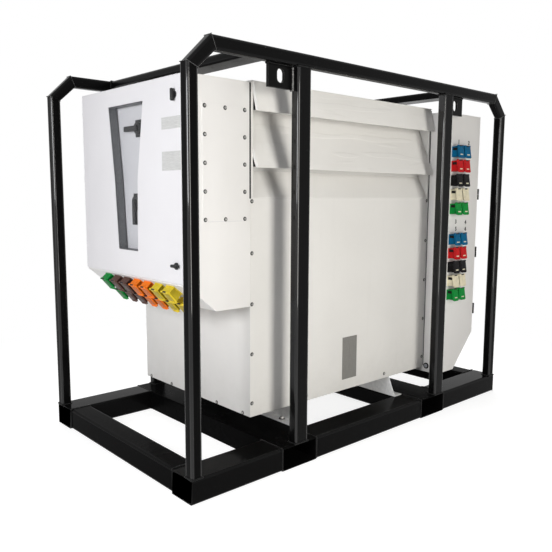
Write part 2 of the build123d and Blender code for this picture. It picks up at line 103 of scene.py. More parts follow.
class HousingSettings(bpy.types.PropertyGroup):
    """Sizes and paint of the ventilated housing and the cabinets."""

    fold: length_prop("Sheet fold", "Radius of the folded sheet edges", 0.0012)
    door_fold: length_prop("Door fold", "Radius of the door edges", 0.0040)
    hood_return: length_prop("Hood end return", "Width of the folded ends of the vent hoods", 0.013, 0.005)
    screw_washer: length_prop("Screw washer", "Radius of the dark washers under the panel screws", 0.0090, 0.002)
    screw_head: length_prop("Screw head", "Radius of the hexagon heads of the panel screws", 0.0056, 0.001)
    bolt_washer: length_prop("Foot bolt washer", "Radius of the washers on the feet", 0.0150, 0.004)
    bolt_head: length_prop("Foot bolt head", "Radius of the hexagon heads on the feet", 0.0110, 0.003)
    paint: colour_prop("Housing paint", "Warm white paint of the housing", (0.750, 0.738, 0.715))
    cabinet_paint: colour_prop("Cabinet paint", "White paint of the two cabinets", (0.775, 0.762, 0.750))
    door_paint: colour_prop("Door paint", "White paint of the input door", (0.772, 0.760, 0.774))
    panel_paint: colour_prop("Dead front paint", "Light grey paint behind the doors", (0.590, 0.590, 0.614))
    # Painted light: the hoods, and the panels above the bend, are painted this much lighter, standing for light that
    # these sloped sheets miss.
    lift: bpy.props.FloatProperty(
        name="Sloped sheets", description="How much lighter the sloped sheets are than the upright ones",
        default=1.13, min=0.5, max=1.3)


class SocketSettings(bpy.types.PropertyGroup):
    """Colours of the single-pole receptacles."""

    green: colour_prop("Green", "Green receptacles", (0.006, 0.265, 0.045))
    brown: colour_prop("Brown", "Brown receptacles", (0.115, 0.060, 0.048))
    orange: colour_prop("Orange", "Orange receptacles", (0.880, 0.200, 0.014))
    yellow: colour_prop("Yellow", "Yellow receptacles", (0.700, 0.540, 0.035))
    blue: colour_prop("Blue", "Blue receptacles", (0.002, 0.120, 0.260))
    red: colour_prop("Red", "Red receptacles", (0.560, 0.014, 0.016))
    black: colour_prop("Black", "Black receptacles", (0.010, 0.009, 0.010))
    cream: colour_prop("Cream", "Cream receptacles", (0.800, 0.740, 0.560))


class StageSettings(bpy.types.PropertyGroup):
    """Camera and light."""

    camera_place: bpy.props.FloatVectorProperty(
        name="Camera place", description="Where the camera stands", subtype="TRANSLATION", size=3,
        default=(-2.381, -2.5415, 1.180))
    camera_aim: bpy.props.FloatVectorProperty(
        name="Camera aim", description="Direction in which the camera looks", subtype="DIRECTION", size=3,
        default=(0.67280, 0.72914, -0.12531))
    camera_roll: bpy.props.FloatProperty(
        name="Camera roll", description="Turn of the camera about its aim", subtype="ANGLE",
        default=math.radians(0.411))
    camera_lens: bpy.props.FloatProperty(
        name="Lens", description="Focal length on a sensor 36 mm wide", default=41.67, min=1.0, unit="CAMERA")
    key_power: power_prop("Key light", "Power of the tall light in front, and of the one behind", 80.0)
    side_power: power_prop("Side light", "Power of the wide lights at the two ends", 69.0)
    top_power: power_prop("Top light", "Power of the soft light overhead", 36.0)
    ambient: bpy.props.FloatProperty(
        name="Ambient", description="Strength of the even light around the object", default=0.045, min=0.0)


# Node tools

def feed(tree, source, target):
    """Link an output, or write a plain value, into an input; a colour gets its alpha."""
    if isinstance(source, bpy.types.NodeSocket):
        tree.links.new(source, target)
    elif isinstance(source, (tuple, list)) and len(target.default_value) == 4:
        target.default_value = (*source[:3], 1.0)
    else:
        target.default_value = source


def lay(tree, kind, links=(), **props):
    """Add a node, set its properties and feed its inputs, each by name or index."""
    node = tree.nodes.new(kind)
    for key, value in props.items():
        setattr(node, key, value)
    for key, source in links:
        if isinstance(key, int):
            target = node.inputs[key]
        else:
            target = next(socket for socket in node.inputs if socket.name == key and socket.enabled)
        feed(tree, source, target)
    return node


def live(node, name=None):
    """The first enabled output of a node, or the one of that name."""
    return next(socket for socket in node.outputs if socket.enabled and (name is None or socket.name == name))


# Materials

class Finish:
    """One procedural material while its nodes are being laid."""

    def __init__(self, name):
        self.material = bpy.data.materials.new(name)
        self.material.use_nodes = True
        self.tree = self.material.node_tree
        self.tree.nodes.clear()
        self.shader = lay(self.tree, "ShaderNodeBsdfPrincipled")
        lay(self.tree, "ShaderNodeOutputMaterial", [("Surface", self.shader.outputs["BSDF"])])
        self.place = lay(self.tree, "ShaderNodeTexCoord").outputs["Object"]

    def set(self, **values):
        """Write or link the shader's own sockets, named with underscores for spaces."""
        for name, value in values.items():
            feed(self.tree, value, self.shader.inputs[name.replace("_", " ")])

    def stretch(self, scale, turn=(0.0, 0.0, 0.0)):
        """Object coordinates, turned and scaled along each axis."""
        mapping = lay(self.tree, "ShaderNodeMapping", [("Vector", self.place), ("Rotation", turn), ("Scale", scale)])
        return mapping.outputs["Vector"]

    def noise(self, scale, detail=3.0, roughness=0.55, vector=None):
        """Soft noise around one half."""
        noise = lay(self.tree, "ShaderNodeTexNoise", [
            ("Vector", vector or self.place), ("Scale", scale), ("Detail", detail), ("Roughness", roughness)])
        return noise.outputs["Fac"]

    def cells(self, scale):
        """Two random values that are even over each cell of a crystal pattern."""
        cells = lay(self.tree, "ShaderNodeTexVoronoi", [("Vector", self.place), ("Scale", scale)])
        parts = lay(self.tree, "ShaderNodeSeparateColor", [("Color", cells.outputs["Color"])])
        return parts.outputs["Red"], parts.outputs["Green"]

    def span(self, value, low, high, start=0.3, end=0.7):
        """A value read between two ends and spread over another range."""
        spread = lay(self.tree, "ShaderNodeMapRange", [
            ("Value", value), ("From Min", start), ("From Max", end), ("To Min", low), ("To Max", high)])
        return spread.outputs["Result"]

    def math(self, kind, first, second):
        """The sum or product of two values."""
        return lay(self.tree, "ShaderNodeMath", [(0, first), (1, second)], operation=kind).outputs["Value"]

    def blend(self, share, first, second):
        """One colour laid over another by a share from 0 to 1."""
        return lay(self.tree, "ShaderNodeMix", [(0, share), (6, first), (7, second)], data_type="RGBA").outputs[2]

    def mottle(self, pattern, first, second):
        """Two colours spread over a noise pattern."""
        return self.blend(self.span(pattern, 0.0, 1.0), first, second)

    def corner(self):
        """1 on a rounded corner, 0 on the flats."""
        return lay(self.tree, "ShaderNodeAttribute", attribute_name="corner").outputs["Fac"]

    def rise(self, vector):
        """The upright part of a vector."""
        return lay(self.tree, "ShaderNodeSeparateXYZ", [("Vector", vector)]).outputs["Z"]

    def upward(self):
        """How far a face looks up, from 0 to 1."""
        geometry = lay(self.tree, "ShaderNodeNewGeometry")
        return self.span(self.rise(geometry.outputs["Normal"]), 0.0, 1.0, 0.6, 1.0)

    def height(self, low, high):
        """Height above the floor, as 1 at the low end and 0 at the high end."""
        return self.span(self.rise(self.place), 1.0, 0.0, low, high)

    def emboss(self, value, strength, distance):
        """Press a height pattern into the surface."""
        bump = lay(self.tree, "ShaderNodeBump", [("Strength", strength), ("Distance", distance), ("Height", value)])
        self.set(Normal=bump.outputs["Normal"])


def shade(colour, factor):
    """A lighter or darker version of a colour."""
    return tuple(min(1.0, part * factor) for part in colour)


def cage_paint(name, settings, gloss, shine, roughness=(0.15, 0.29), peel=0.06):
    """Semi-gloss black paint over tube, glossier where it thins over the corners, with dust on level faces."""
    paint = Finish(name)
    base = tuple(settings.paint)
    scuffs = paint.span(paint.noise(34.0, 6.0, 0.70, paint.stretch((1.0, 1.0, 0.35))), 0.0, 0.30, 0.62, 0.74)
    colour = paint.blend(scuffs, base, shade(base, 4.0))
    lying = paint.math("MULTIPLY", paint.upward(), paint.span(paint.noise(9.0, 5.0, 0.65), 0.02, 0.22, 0.40, 0.75))
    paint.set(Base_Color=paint.blend(lying, colour, tuple(settings.dust)),
              Roughness=paint.span(paint.noise(5.0, 4.0), *roughness), Specular_IOR_Level=gloss, Coat_Roughness=0.07,
              Coat_Weight=paint.math("MULTIPLY", paint.corner(), shine))
    paint.emboss(paint.noise(240.0, 2.0), peel, 0.0006)
    return paint.material


def white_paint(name, colour, wear, lift=None, creases=0.0):
    """Satin white paint on sheet steel, its tone a little patchy, with faint streaks and grime low down.

    The painted light is a height and a factor: above that height the paint is lighter, standing for light that the
    sloped sheets miss. Creases press faint level dents."""
    paint = Finish(name)
    base, darker, lighter, grime = tuple(colour), 0.975, 1.02, (0.30, 0.27, 0.22)
    cloud = paint.span(paint.noise(2.6, 4.0), 0.0, 1.0)
    uneven_and_painted_light = paint.blend(cloud, shade(base, darker), shade(base, lighter))
    # painted light: above the given height the paint is lighter, standing for light the sloped sheets miss
    if lift:
        edge, factor = lift
        painted_lighter = paint.blend(cloud, shade(base, darker * factor), shade(base, lighter * factor))
        uneven_and_painted_light = paint.blend(paint.height(edge - 0.002, edge + 0.002), painted_lighter, uneven_and_painted_light)
    runs = paint.noise(26.0, 5.0, 0.65, paint.stretch((1.0, 1.0, 0.07)))
    streaked = paint.blend(paint.span(runs, 0.0, 0.10 * wear, 0.55, 0.80), uneven_and_painted_light, shade(base, 0.62))
    low = paint.math("MULTIPLY", paint.height(0.18, 0.48), paint.span(paint.noise(15.0, 6.0, 0.7), 0.0, 0.22 * wear))
    paint.set(Base_Color=paint.blend(low, streaked, grime), Roughness=paint.span(paint.noise(6.0, 4.0), 0.34, 0.50),
              Specular_IOR_Level=0.42)
    waves = paint.math("MULTIPLY", paint.noise(2.2, 2.0, 0.4, paint.stretch((1.0, 1.0, 1.6))), 7.0)
    if creases:
        dents = paint.span(paint.noise(2.4, 1.0, 0.4, paint.stretch((1.0, 1.0, 9.0))), 0.0, creases, 0.56, 0.60)
        waves = paint.math("ADD", waves, dents)
    grain = paint.math("MULTIPLY", paint.noise(320.0, 2.0), 0.05)
    paint.emboss(paint.math("ADD", waves, grain), 0.9, 0.0010)
    return paint.material


def moulded_plastic(name, colour, roughness=(0.24, 0.40), gloss=0.05):
    """Moulded plastic with a fine grain and a faint change of colour."""
    plastic = Finish(name)
    base = tuple(colour)
    plastic.set(Base_Color=plastic.mottle(plastic.noise(38.0, 4.0), shade(base, 0.86), shade(base, 1.10)),
                Roughness=plastic.span(plastic.noise(55.0, 3.0), *roughness), Specular_IOR_Level=gloss)
    plastic.emboss(plastic.noise(900.0, 2.0), 0.10, 0.0003)
    return plastic.material


def galvanised_steel(name):
    """Zinc-dipped steel with its spangle."""
    zinc = Finish(name)
    tone, dull = zinc.cells(85.0)
    zinc.set(Base_Color=zinc.blend(zinc.span(tone, 0.0, 1.0, 0.0, 1.0), (0.74, 0.745, 0.75), (0.84, 0.84, 0.84)),
             Metallic=0.10, Roughness=zinc.span(dull, 0.34, 0.56, 0.0, 1.0))
    zinc.emboss(zinc.noise(60.0, 3.0), 0.08, 0.0006)
    return zinc.material


def plating_and_bead_highlight(name, darker, lighter):
    """Dull plating with darker and lighter patches; on the grey weld beads the lighter grey is a painted highlight."""
    plating = Finish(name)
    plating.set(Base_Color=plating.mottle(plating.noise(160.0, 4.0), darker, lighter), Metallic=0.5,
                Roughness=plating.span(plating.noise(220.0, 3.0), 0.30, 0.55))
    plating.emboss(plating.noise(700.0, 2.0), 0.10, 0.0002)
    return plating.material


def brushed_plate(name, colour, across=(30.0, 1.0, 1.0)):
    """Brushed metal plate, the brushing fine across one axis."""
    plate = Finish(name)
    lines = plate.noise(30.0, 4.0, 0.6, plate.stretch(across))
    plate.set(Base_Color=plate.mottle(lines, shade(colour, 0.78), shade(colour, 1.15)), Metallic=0.55,
              Roughness=plate.span(lines, 0.38, 0.58))
    plate.emboss(lines, 0.12, 0.0002)
    return plate.material


def clear_pane(name):
    """Thin clear sheet with faint wipe marks."""
    pane = Finish(name)
    wipes = pane.noise(9.0, 5.0, 0.6, pane.stretch((1.0, 1.0, 0.30), (0.5, 0.0, 0.0)))
    pane.set(Base_Color=pane.mottle(wipes, (0.84, 0.86, 0.88), (0.93, 0.95, 0.96)),
             Roughness=pane.span(wipes, 0.03, 0.10), Alpha=pane.span(wipes, 0.01, 0.03), Specular_IOR_Level=0.1)
    return pane.material


def dark_rubber(name):
    """Black sealing rubber, also laid as dark sheets of painted shade."""
    rubber = Finish(name)
    rubber.set(Base_Color=rubber.mottle(rubber.noise(70.0, 4.0), (0.010, 0.010, 0.010), (0.028, 0.028, 0.027)),
               Roughness=rubber.span(rubber.noise(90.0, 3.0), 0.60, 0.82), Specular_IOR_Level=0.3)
    rubber.emboss(rubber.noise(500.0, 2.0), 0.15, 0.0004)
    return rubber.material


def recipe(name):
    """The maker of a finish and what it is given after the name."""
    scene = bpy.context.scene
    skid, housing, colours = scene.transformer_skid, scene.transformer_housing, scene.transformer_sockets
    kind, _, colour = name.partition("_")
    if kind == "socket":
        return moulded_plastic, getattr(colours, colour)
    # painted shade: a body finish is the socket colour darkened, for the shade under the flip covers
    if kind == "body":
        return moulded_plastic, shade(getattr(colours, colour), 0.58)
    smooth, flat = (0.09, 0.20), (0.20, 0.34)
    return {
        "cage_black": (cage_paint, skid, 0.06, skid.shine),
        "post_black": (cage_paint, skid, 0.025, skid.shine),
        "rail_black": (cage_paint, skid, 0.05, skid.rail_shine),
        "base_black": (cage_paint, skid, 0.03, skid.rail_shine, smooth),
        "end_black": (cage_paint, skid, 0.006, skid.rail_shine, smooth),
        "pocket_black": (cage_paint, skid, 0.006, 0.0, flat),
        "weld_black": (cage_paint, skid, 0.14, skid.shine, (0.24, 0.42), 0.20),
        # painted highlight: the mitre and lug beads are grey for the light lines they catch
        "bead_grey": (plating_and_bead_highlight, (0.012, 0.012, 0.012), (0.280, 0.276, 0.268)),
        "mitre_grey": (plating_and_bead_highlight, (0.020, 0.020, 0.020), (0.110, 0.110, 0.108)),
        "screw_zinc": (plating_and_bead_highlight, (0.20, 0.196, 0.188), (0.48, 0.47, 0.45)),
        "washer_dark": (plating_and_bead_highlight, (0.008, 0.008, 0.008), (0.034, 0.033, 0.031)),
        "galvanised": (galvanised_steel,),
        "housing_white": (white_paint, housing.paint, 0.6),
        # painted light: the panels are painted lighter above the bend and the hoods lighter all over, for light the
        # sloped sheets miss
        "panel_white": (white_paint, housing.paint, 0.6, (PANEL_BEND, housing.lift)),
        "hood_white": (white_paint, shade(housing.paint, housing.lift), 0.5, None, 0.8),
        "inner_white": (white_paint, shade(housing.paint, 0.92), 0.4),
        "cabinet_white": (white_paint, housing.cabinet_paint, 0.45),
        "door_white": (white_paint, housing.door_paint, 0.3),
        "dead_front_grey": (white_paint, housing.panel_paint, 0.2),
        "plate_grey": (brushed_plate, (0.215, 0.208, 0.192)),
        "blank_silver": (brushed_plate, (0.60, 0.60, 0.59), (1.0, 1.0, 30.0)),
        "plug_steel": (brushed_plate, (0.42, 0.43, 0.46)),
        "trim_grey": (moulded_plastic, (0.100, 0.103, 0.110), (0.42, 0.60), 0.35),
        "knob_black": (moulded_plastic, (0.009, 0.009, 0.010), (0.30, 0.46), 0.2),
        "hinge_black": (moulded_plastic, (0.007, 0.007, 0.007), (0.30, 0.48), 0.14),
        "ink_grey": (moulded_plastic, (0.022, 0.021, 0.020), (0.50, 0.70), 0.2),
        "seal_black": (dark_rubber,),
        "pane_clear": (clear_pane,),
    }[name]


MADE = {}


def material(name):
    """The finish of that name, made on first use."""
    if name not in MADE:
        maker, *given = recipe(name)
        MADE[name] = maker(name, *given)
    return MADE[name]


# Mesh tools

def shown(name, mesh, body, slot):
    """A new object that rides on a body; the slot is not used."""
    piece = bpy.data.objects.new(name, mesh)
    bpy.context.scene.collection.objects.link(piece)
    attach(piece, body)
    return piece


def smoothed(shape, name, finish):
    """A mesh from a bmesh, with its finish, shaded smooth across shallow edges and with large faces kept flat."""
    mesh = bpy.data.meshes.new(name)
    shape.to_mesh(mesh)
    shape.free()
    mesh.shade_smooth()
    mesh.set_sharp_from_angle(angle=math.radians(40.0))
    holder = bpy.data.objects.new(name + "_holder", mesh)
    bpy.context.scene.collection.objects.link(holder)
    weights = holder.modifiers.new("Weights", "WEIGHTED_NORMAL")
    weights.keep_sharp = True
    graph = bpy.context.evaluated_depsgraph_get()
    result = bpy.data.meshes.new_from_object(holder.evaluated_get(graph), preserve_all_data_layers=True,
                                             depsgraph=graph)
    result.name = name
    bpy.data.objects.remove(holder)
    bpy.data.meshes.remove(mesh)
    result.materials.clear()
    result.materials.append(material(finish))
    return result


def stand(shape, name, finish, slot, body="skid"):
    """A new piece from a bmesh."""
    return shown(name, smoothed(shape, name, finish), body, slot)


def along(axis):
    """A test for edges that run along an axis."""
    way = Vector(axis).normalized()
    return lambda edge: abs((edge.verts[1].co - edge.verts[0].co).normalized().dot(way)) > 0.995


def slanted(edge):
    """A test for edges that run at 45 degrees in the side view."""
    way = (edge.verts[1].co - edge.verts[0].co).normalized()
    return abs(way.y) < 0.05 and abs(abs(way.x) - abs(way.z)) < 0.12


def rounded_copy(node, radius, segments=3, chosen=None):
    """A bmesh copy of a CAD node with its sharp edges, or the chosen ones, rounded."""
    same_place, same_plane, sharp = 1e-5, math.radians(0.4), math.radians(25.0)
    shape = bmesh.new()
    shape.from_mesh(frame["nodes"][node].data)
    bmesh.ops.remove_doubles(shape, verts=shape.verts, dist=same_place)
    bmesh.ops.dissolve_limit(shape, angle_limit=same_plane, verts=shape.verts, edges=shape.edges)
    picked = [edge for edge in shape.edges
              if len(edge.link_faces) == 2 and edge.calc_face_angle(0.0) > sharp and (chosen is None or chosen(edge))]
    made = bmesh.ops.bevel(shape, geom=picked, offset=radius, offset_type="OFFSET", segments=segments, profile=0.5,
                           affect="EDGES", clamp_overlap=True)
    corner = shape.loops.layers.float.new("corner")
    for face in made["faces"]:
        for loop in face.loops:
            loop[corner] = 1.0
    return shape


def dress(node, finish, radius, segments=3, chosen=None, extra=None):
    """Stand a rounded copy, with any extra detail, in the place of a CAD node."""
    shape = rounded_copy(node, radius, segments, chosen)
    if extra:
        extra(shape)
    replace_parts(stand(shape, node + "_finish", finish, SLOT_OF[node], BODY_OF[node]), node)


def add_block(shape, low, high, radius=0.0, segments=2, place=None):
    """A box with rounded edges, added to a bmesh; the matrix places it."""
    made = bmesh.ops.create_cube(shape, size=1.0)
    low, high = Vector(low), Vector(high)
    middle, size = (low + high) / 2, high - low
    for vert in made["verts"]:
        vert.co = Vector(vert.co[i] * size[i] + middle[i] for i in range(3))
    verts = set(made["verts"])
    if radius:
        edges = list(dict.fromkeys(edge for vert in made["verts"] for edge in vert.link_edges))
        rounded = bmesh.ops.bevel(shape, geom=edges, offset=radius, offset_type="OFFSET", segments=segments,
                                  profile=0.5, affect="EDGES", clamp_overlap=True)
        verts = set(rounded["verts"]) | {vert for vert in verts if vert.is_valid}
    if place is not None:
        bmesh.ops.transform(shape, matrix=place, verts=list(verts))


def add_round(shape, place, axis, radius, length, sides=20, rim=0.0):
    """A short cylinder with an optional chamfered rim, added to a bmesh."""
    turn = Vector((0, 0, 1)).rotation_difference(Vector(axis)).to_matrix().to_4x4()
    spot = Matrix.Translation(Vector(place)) @ turn
    rings = [(radius, 0.0), (radius, length - rim)]
    if rim:
        rings.append((radius - rim, length))
    loops = []
    for reach, rise in rings:
        angles = [2 * math.pi * step / sides for step in range(sides)]
        loops.append([shape.verts.new(spot @ Vector((reach * math.cos(angle), reach * math.sin(angle), rise)))
                      for angle in angles])
    for lower, upper in zip(loops, loops[1:]):
        for step in range(sides):
            after = (step + 1) % sides
            shape.faces.new((lower[step], lower[after], upper[after], upper[step]))
    shape.faces.new(list(reversed(loops[0])))
    shape.faces.new(loops[-1])


def add_prism(shape, outline, start, end, place=None):
    """A straight prism along X from a YZ outline, added to a bmesh; the matrix places it."""
    place = place or Matrix()
    near, far = ([shape.verts.new(place @ Vector((x, *point))) for point in outline] for x in (start, end))
    faces = [shape.faces.new(near), shape.faces.new(far)]
    for step in range(len(outline)):
        after = (step + 1) % len(outline)
        faces.append(shape.faces.new((near[step], near[after], far[after], far[step])))
    bmesh.ops.recalc_face_normals(shape, faces=faces)


# Geometry Nodes

def open_tree(name, inputs):
    """A geometry node tree with named inputs; returns the tree, its input node and its output socket."""
    tree = bpy.data.node_groups.new(name, "GeometryNodeTree")
    tree.interface.new_socket("Geometry", in_out="INPUT", socket_type="NodeSocketGeometry")
    for label, kind, value in inputs:
        socket = tree.interface.new_socket(label, in_out="INPUT", socket_type=kind)
        if value is not None:
            socket.default_value = value
    tree.interface.new_socket("Geometry", in_out="OUTPUT", socket_type="NodeSocketGeometry")
    given = tree.nodes.new("NodeGroupInput")
    result = tree.nodes.new("NodeGroupOutput")
    return tree, given.outputs, result.inputs["Geometry"]


def finish_tree(tree, given, result, instances):
    """End a tree: real geometry with one material."""
    real = lay(tree, "GeometryNodeRealizeInstances", [("Geometry", instances)])
    painted = lay(tree, "GeometryNodeSetMaterial", [("Geometry", live(real)), ("Material", given["Material"])])
    tree.links.new(live(painted), result)


def stud_tree():
    """Short tapered studs, one at each point, along the point's facing vector and turned at random about it."""
    tree, given, result = open_tree("Studs", [
        ("Sides", "NodeSocketInt", 6), ("Radius", "NodeSocketFloat", 0.005), ("Taper", "NodeSocketFloat", 0.85),
        ("Height", "NodeSocketFloat", 0.004), ("Seed", "NodeSocketInt", 3), ("Material", "NodeSocketMaterial", None)])
    top = lay(tree, "ShaderNodeMath", [(0, given["Radius"]), (1, given["Taper"])], operation="MULTIPLY")
    stud = lay(tree, "GeometryNodeMeshCone", [
        ("Vertices", given["Sides"]), ("Radius Top", live(top)), ("Radius Bottom", given["Radius"]),
        ("Depth", given["Height"])])
    facing = lay(tree, "GeometryNodeInputNamedAttribute", [("Name", "facing")], data_type="FLOAT_VECTOR")
    turned = lay(tree, "FunctionNodeAlignRotationToVector", [("Vector", live(facing, "Attribute"))], axis="Z")
    sixth = 1.047
    random = lay(tree, "FunctionNodeRandomValue", [("Min", 0.0), ("Max", sixth), ("Seed", given["Seed"])],
                 data_type="FLOAT")
    spin = lay(tree, "ShaderNodeCombineXYZ", [("Z", live(random))])
    spin = lay(tree, "FunctionNodeEulerToRotation", [("Euler", live(spin))])
    turned = lay(tree, "FunctionNodeRotateRotation", [("Rotation", live(turned)), ("Rotate By", live(spin))],
                 rotation_space="LOCAL")
    placed = lay(tree, "GeometryNodeInstanceOnPoints", [
        ("Points", given["Geometry"]), ("Instance", live(stud, "Mesh")), ("Rotation", live(turned))])
    finish_tree(tree, given, result, live(placed))
    return tree


def weld_tree():
    """Rippled weld beads along the edges of a wire mesh."""
    tree, given, result = open_tree("Weld beads", [
        ("Bead radius", "NodeSocketFloat", 0.004), ("Ripple spacing", "NodeSocketFloat", 0.005),
        ("Seed", "NodeSocketInt", 5), ("Material", "NodeSocketMaterial", None)])
    path = lay(tree, "GeometryNodeMeshToCurve", [("Mesh", given["Geometry"])])
    dots = lay(tree, "GeometryNodeResampleCurve", [("Curve", live(path)), ("Length", given["Ripple spacing"])],
               mode="LENGTH")
    ripple = lay(tree, "GeometryNodeMeshIcoSphere", [("Radius", given["Bead radius"]), ("Subdivisions", 2)])
    soft = lay(tree, "GeometryNodeSetShadeSmooth", [("Geometry", live(ripple, "Mesh"))])
    way = lay(tree, "GeometryNodeInputTangent")
    turned = lay(tree, "FunctionNodeAlignRotationToVector", [("Vector", live(way))], axis="X")
    random = lay(tree, "FunctionNodeRandomValue", [("Min", 0.84), ("Max", 1.12), ("Seed", given["Seed"])],
                 data_type="FLOAT")
    size = lay(tree, "ShaderNodeCombineXYZ", [("X", 0.95), ("Y", live(random)), ("Z", live(random))])
    placed = lay(tree, "GeometryNodeInstanceOnPoints", [
        ("Points", live(dots)), ("Instance", live(soft)), ("Rotation", live(turned)), ("Scale", live(size))])
    finish_tree(tree, given, result, live(placed))
    return tree


def grown(name, tree, values, slot, verts, edges=(), facing=None):
    """A piece of the skid body: the plain mesh that a node tree grows on a set of points or edges."""
    seed = bpy.data.meshes.new(name + "_seed")
    seed.from_pydata(verts, edges, [])
    if facing:
        layer = seed.attributes.new("facing", "FLOAT_VECTOR", "POINT")
        for index, way in enumerate(facing):
            layer.data[index].vector = way
    holder = bpy.data.objects.new(name + "_seed", seed)
    bpy.context.scene.collection.objects.link(holder)
    growth = holder.modifiers.new("Growth", "NODES")
    growth.node_group = tree
    for item in tree.interface.items_tree:
        if item.in_out == "INPUT" and item.name in values:
            growth[item.identifier] = values[item.name]
    graph = bpy.context.evaluated_depsgraph_get()
    mesh = bpy.data.meshes.new_from_object(holder.evaluated_get(graph), depsgraph=graph)
    mesh.name = name
    holder.modifiers.clear()
    bpy.data.objects.remove(holder)
    bpy.data.meshes.remove(seed)
    if not mesh.polygons:
        raise RuntimeError(f"{name} came out empty")
    shown(name, mesh, "skid", slot)


# Operators

class TRANSFORMER_OT_skid(bpy.types.Operator):
    """Round the corners of the tubes and plates of the cage and paint them"""

    bl_idname = "transformer.skid"
    bl_label = "Skid and cage"

    def execute(self, context):
        skid = context.scene.transformer_skid
        for node, finish, radius, test in (
            ("front_base_rail", "base_black", skid.base_corner, along(ALONG_X)),
            ("back_base_rail", "base_black", skid.base_corner, along(ALONG_X)),
            ("base_end_tubes", "end_black", skid.base_corner, along(ALONG_Y)),
            ("left_fork_pocket", "pocket_black", skid.base_corner / 3, along(ALONG_Y)),
            ("right_fork_pocket", "pocket_black", skid.base_corner / 3, along(ALONG_Y)),
            ("housing_carriers", "base_black", skid.post_corner, along(ALONG_Y)),
            ("corner_posts", "post_black", skid.post_corner, along(ALONG_Z)),
            ("corner_braces", "rail_black", skid.post_corner, slanted),
            ("top_rails", "rail_black", skid.post_corner, along(ALONG_X)),
            ("middle_posts", "cage_black", skid.post_corner, along(ALONG_Z)),
            ("top_cross_rails", "rail_black", skid.post_corner, along(ALONG_Y)),
            ("front_lifting_lugs", "cage_black", skid.post_corner / 4, None),
            ("back_lifting_lugs", "cage_black", skid.post_corner / 4, None),
        ):
            dress(node, finish, radius, 4, test, self.glazed if node == "middle_posts" else None)
        return {"FINISHED"}

    @staticmethod
    def glazed(shape):
        """Give the left faces the gloss of the corners, fading towards their feet."""
        corner = shape.loops.layers.float["corner"]
        half_height = 0.9
        for face in shape.faces:
            if face.normal.x < -0.99:
                for loop in face.loops:
                    loop[corner] = 1.2 if loop.vert.co.z > half_height else 0.1


class TRANSFORMER_OT_welds(bpy.types.Operator):
    """Lay rippled weld beads where the tubes of the cage meet"""

    bl_idname = "transformer.welds"
    bl_label = "Weld beads"

    def execute(self, context):
        skid = context.scene.transformer_skid
        post, middle_width, cross_width, tube_width = 0.050, 0.076, 0.115, 0.1016
        above_floor = 0.007
        full, fine, bare = ([], []), ([], []), ([], [])

        def bead(points, closed=False, wire=full):
            verts, edges = wire
            start = len(verts)
            verts.extend(Vector(point) for point in points)
            count = len(points)
            edges.extend((start + step, start + step + 1) for step in range(count - 1))
            if closed:
                edges.append((start + count - 1, start))

        def flat_ring(x, y, z):
            bead([(x[0], y[0], z), (x[1], y[0], z), (x[1], y[1], z), (x[0], y[1], z)], True)

        def end_ring(x, y, low, high):
            bead([(x[0], y, low), (x[1], y, low), (x[1], y, high), (x[0], y, high)], True)

        def mitre_ring(outer, inner, y):
            bead([(outer[0], y[0], outer[1]), (outer[0], y[1], outer[1]), (inner[0], y[1], inner[1]),
                  (inner[0], y[0], inner[1])], True, fine)

        def inward(side, outer, width):
            """The two ends of a width, in order, measured inwards from the outside of one side."""
            return sorted((side * outer, side * (outer - width)))

        posts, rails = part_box("corner_posts")[1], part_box("top_rails")[1]
        base_top, rail_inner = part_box("front_base_rail")[1].z, -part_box("front_base_rail")[1].y
        lug_low, lug_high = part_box("front_lifting_lugs")
        half_width = posts.y
        brace_bottom, rail_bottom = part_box("corner_braces")[0].z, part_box("top_rails")[0].z
        rail_depth = half_width + lug_high.y
        rail_mitre = (rails.z - rail_bottom) * math.tan(math.pi / 8)
        middle_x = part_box("middle_posts")[1].x - middle_width / 2
        for side in (-1, 1):
            for back in (-1, 1):
                # corner posts on the base, and the mitres at both ends of the braces
                flat_ring(inward(side, posts.x, post), inward(back, half_width, post), base_top)
                y = inward(back, half_width, rail_depth)
                mitre_ring((side * posts.x, posts.z), (side * (posts.x - post), brace_bottom), y)
                mitre_ring((side * rails.x, rails.z), (side * (rails.x - rail_mitre), rail_bottom), y)
                # middle posts, top and bottom, and the lugs beside them
                x = (side * middle_x - middle_width / 2, side * middle_x + middle_width / 2)
                flat_ring(x, y, base_top)
                flat_ring(x, y, rail_bottom)
                edge_x = side * (middle_x + middle_width / 2)
                for face_y in (-back * lug_low.y, -back * lug_high.y):
                    bead([(edge_x, face_y, lug_low.z), (edge_x, face_y, rail_bottom)], False, bare)
                    bead([(edge_x, face_y, rail_bottom), (side * lug_high.x, face_y, rail_bottom)])
        # cross rails between the top rails
        cross_low, cross_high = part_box("top_cross_rails")
        for side in (-1, 1):
            for y in (cross_low.y, cross_high.y):
                end_ring(inward(side, cross_high.x, cross_width), y, cross_low.z, cross_high.z)
        # end tubes and fork pockets along the base rails
        for side in (-1, 1):
            for y in (-rail_inner, rail_inner):
                end_ring(inward(side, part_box("base_end_tubes")[1].x, tube_width), y, above_floor, base_top)
        pocket_top = base_top - 0.001
        for node in ("left_fork_pocket", "right_fork_pocket"):
            low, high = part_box(node)
            for x in (low.x, high.x):
                for back in (-1, 1):
                    bead([(x, back * half_width, above_floor), (x, back * half_width, pocket_top),
                          (x, back * rail_inner, pocket_top)])
        tree = weld_tree()
        # the mitre and lug beads take grey finishes, a painted highlight
        for name, wire, share, finish in (
            ("weld_beads", full, 1.0, "weld_black"), ("mitre_beads", fine, 0.4, "mitre_grey"),
            ("lug_beads", bare, 1.35, "bead_grey"),
        ):
            grown(name, tree, {
                "Bead radius": skid.bead_radius * share, "Ripple spacing": skid.ripple_spacing * math.sqrt(share),
                "Seed": 5, "Material": material(finish)}, "frame_paint", *wire)
        return {"FINISHED"}


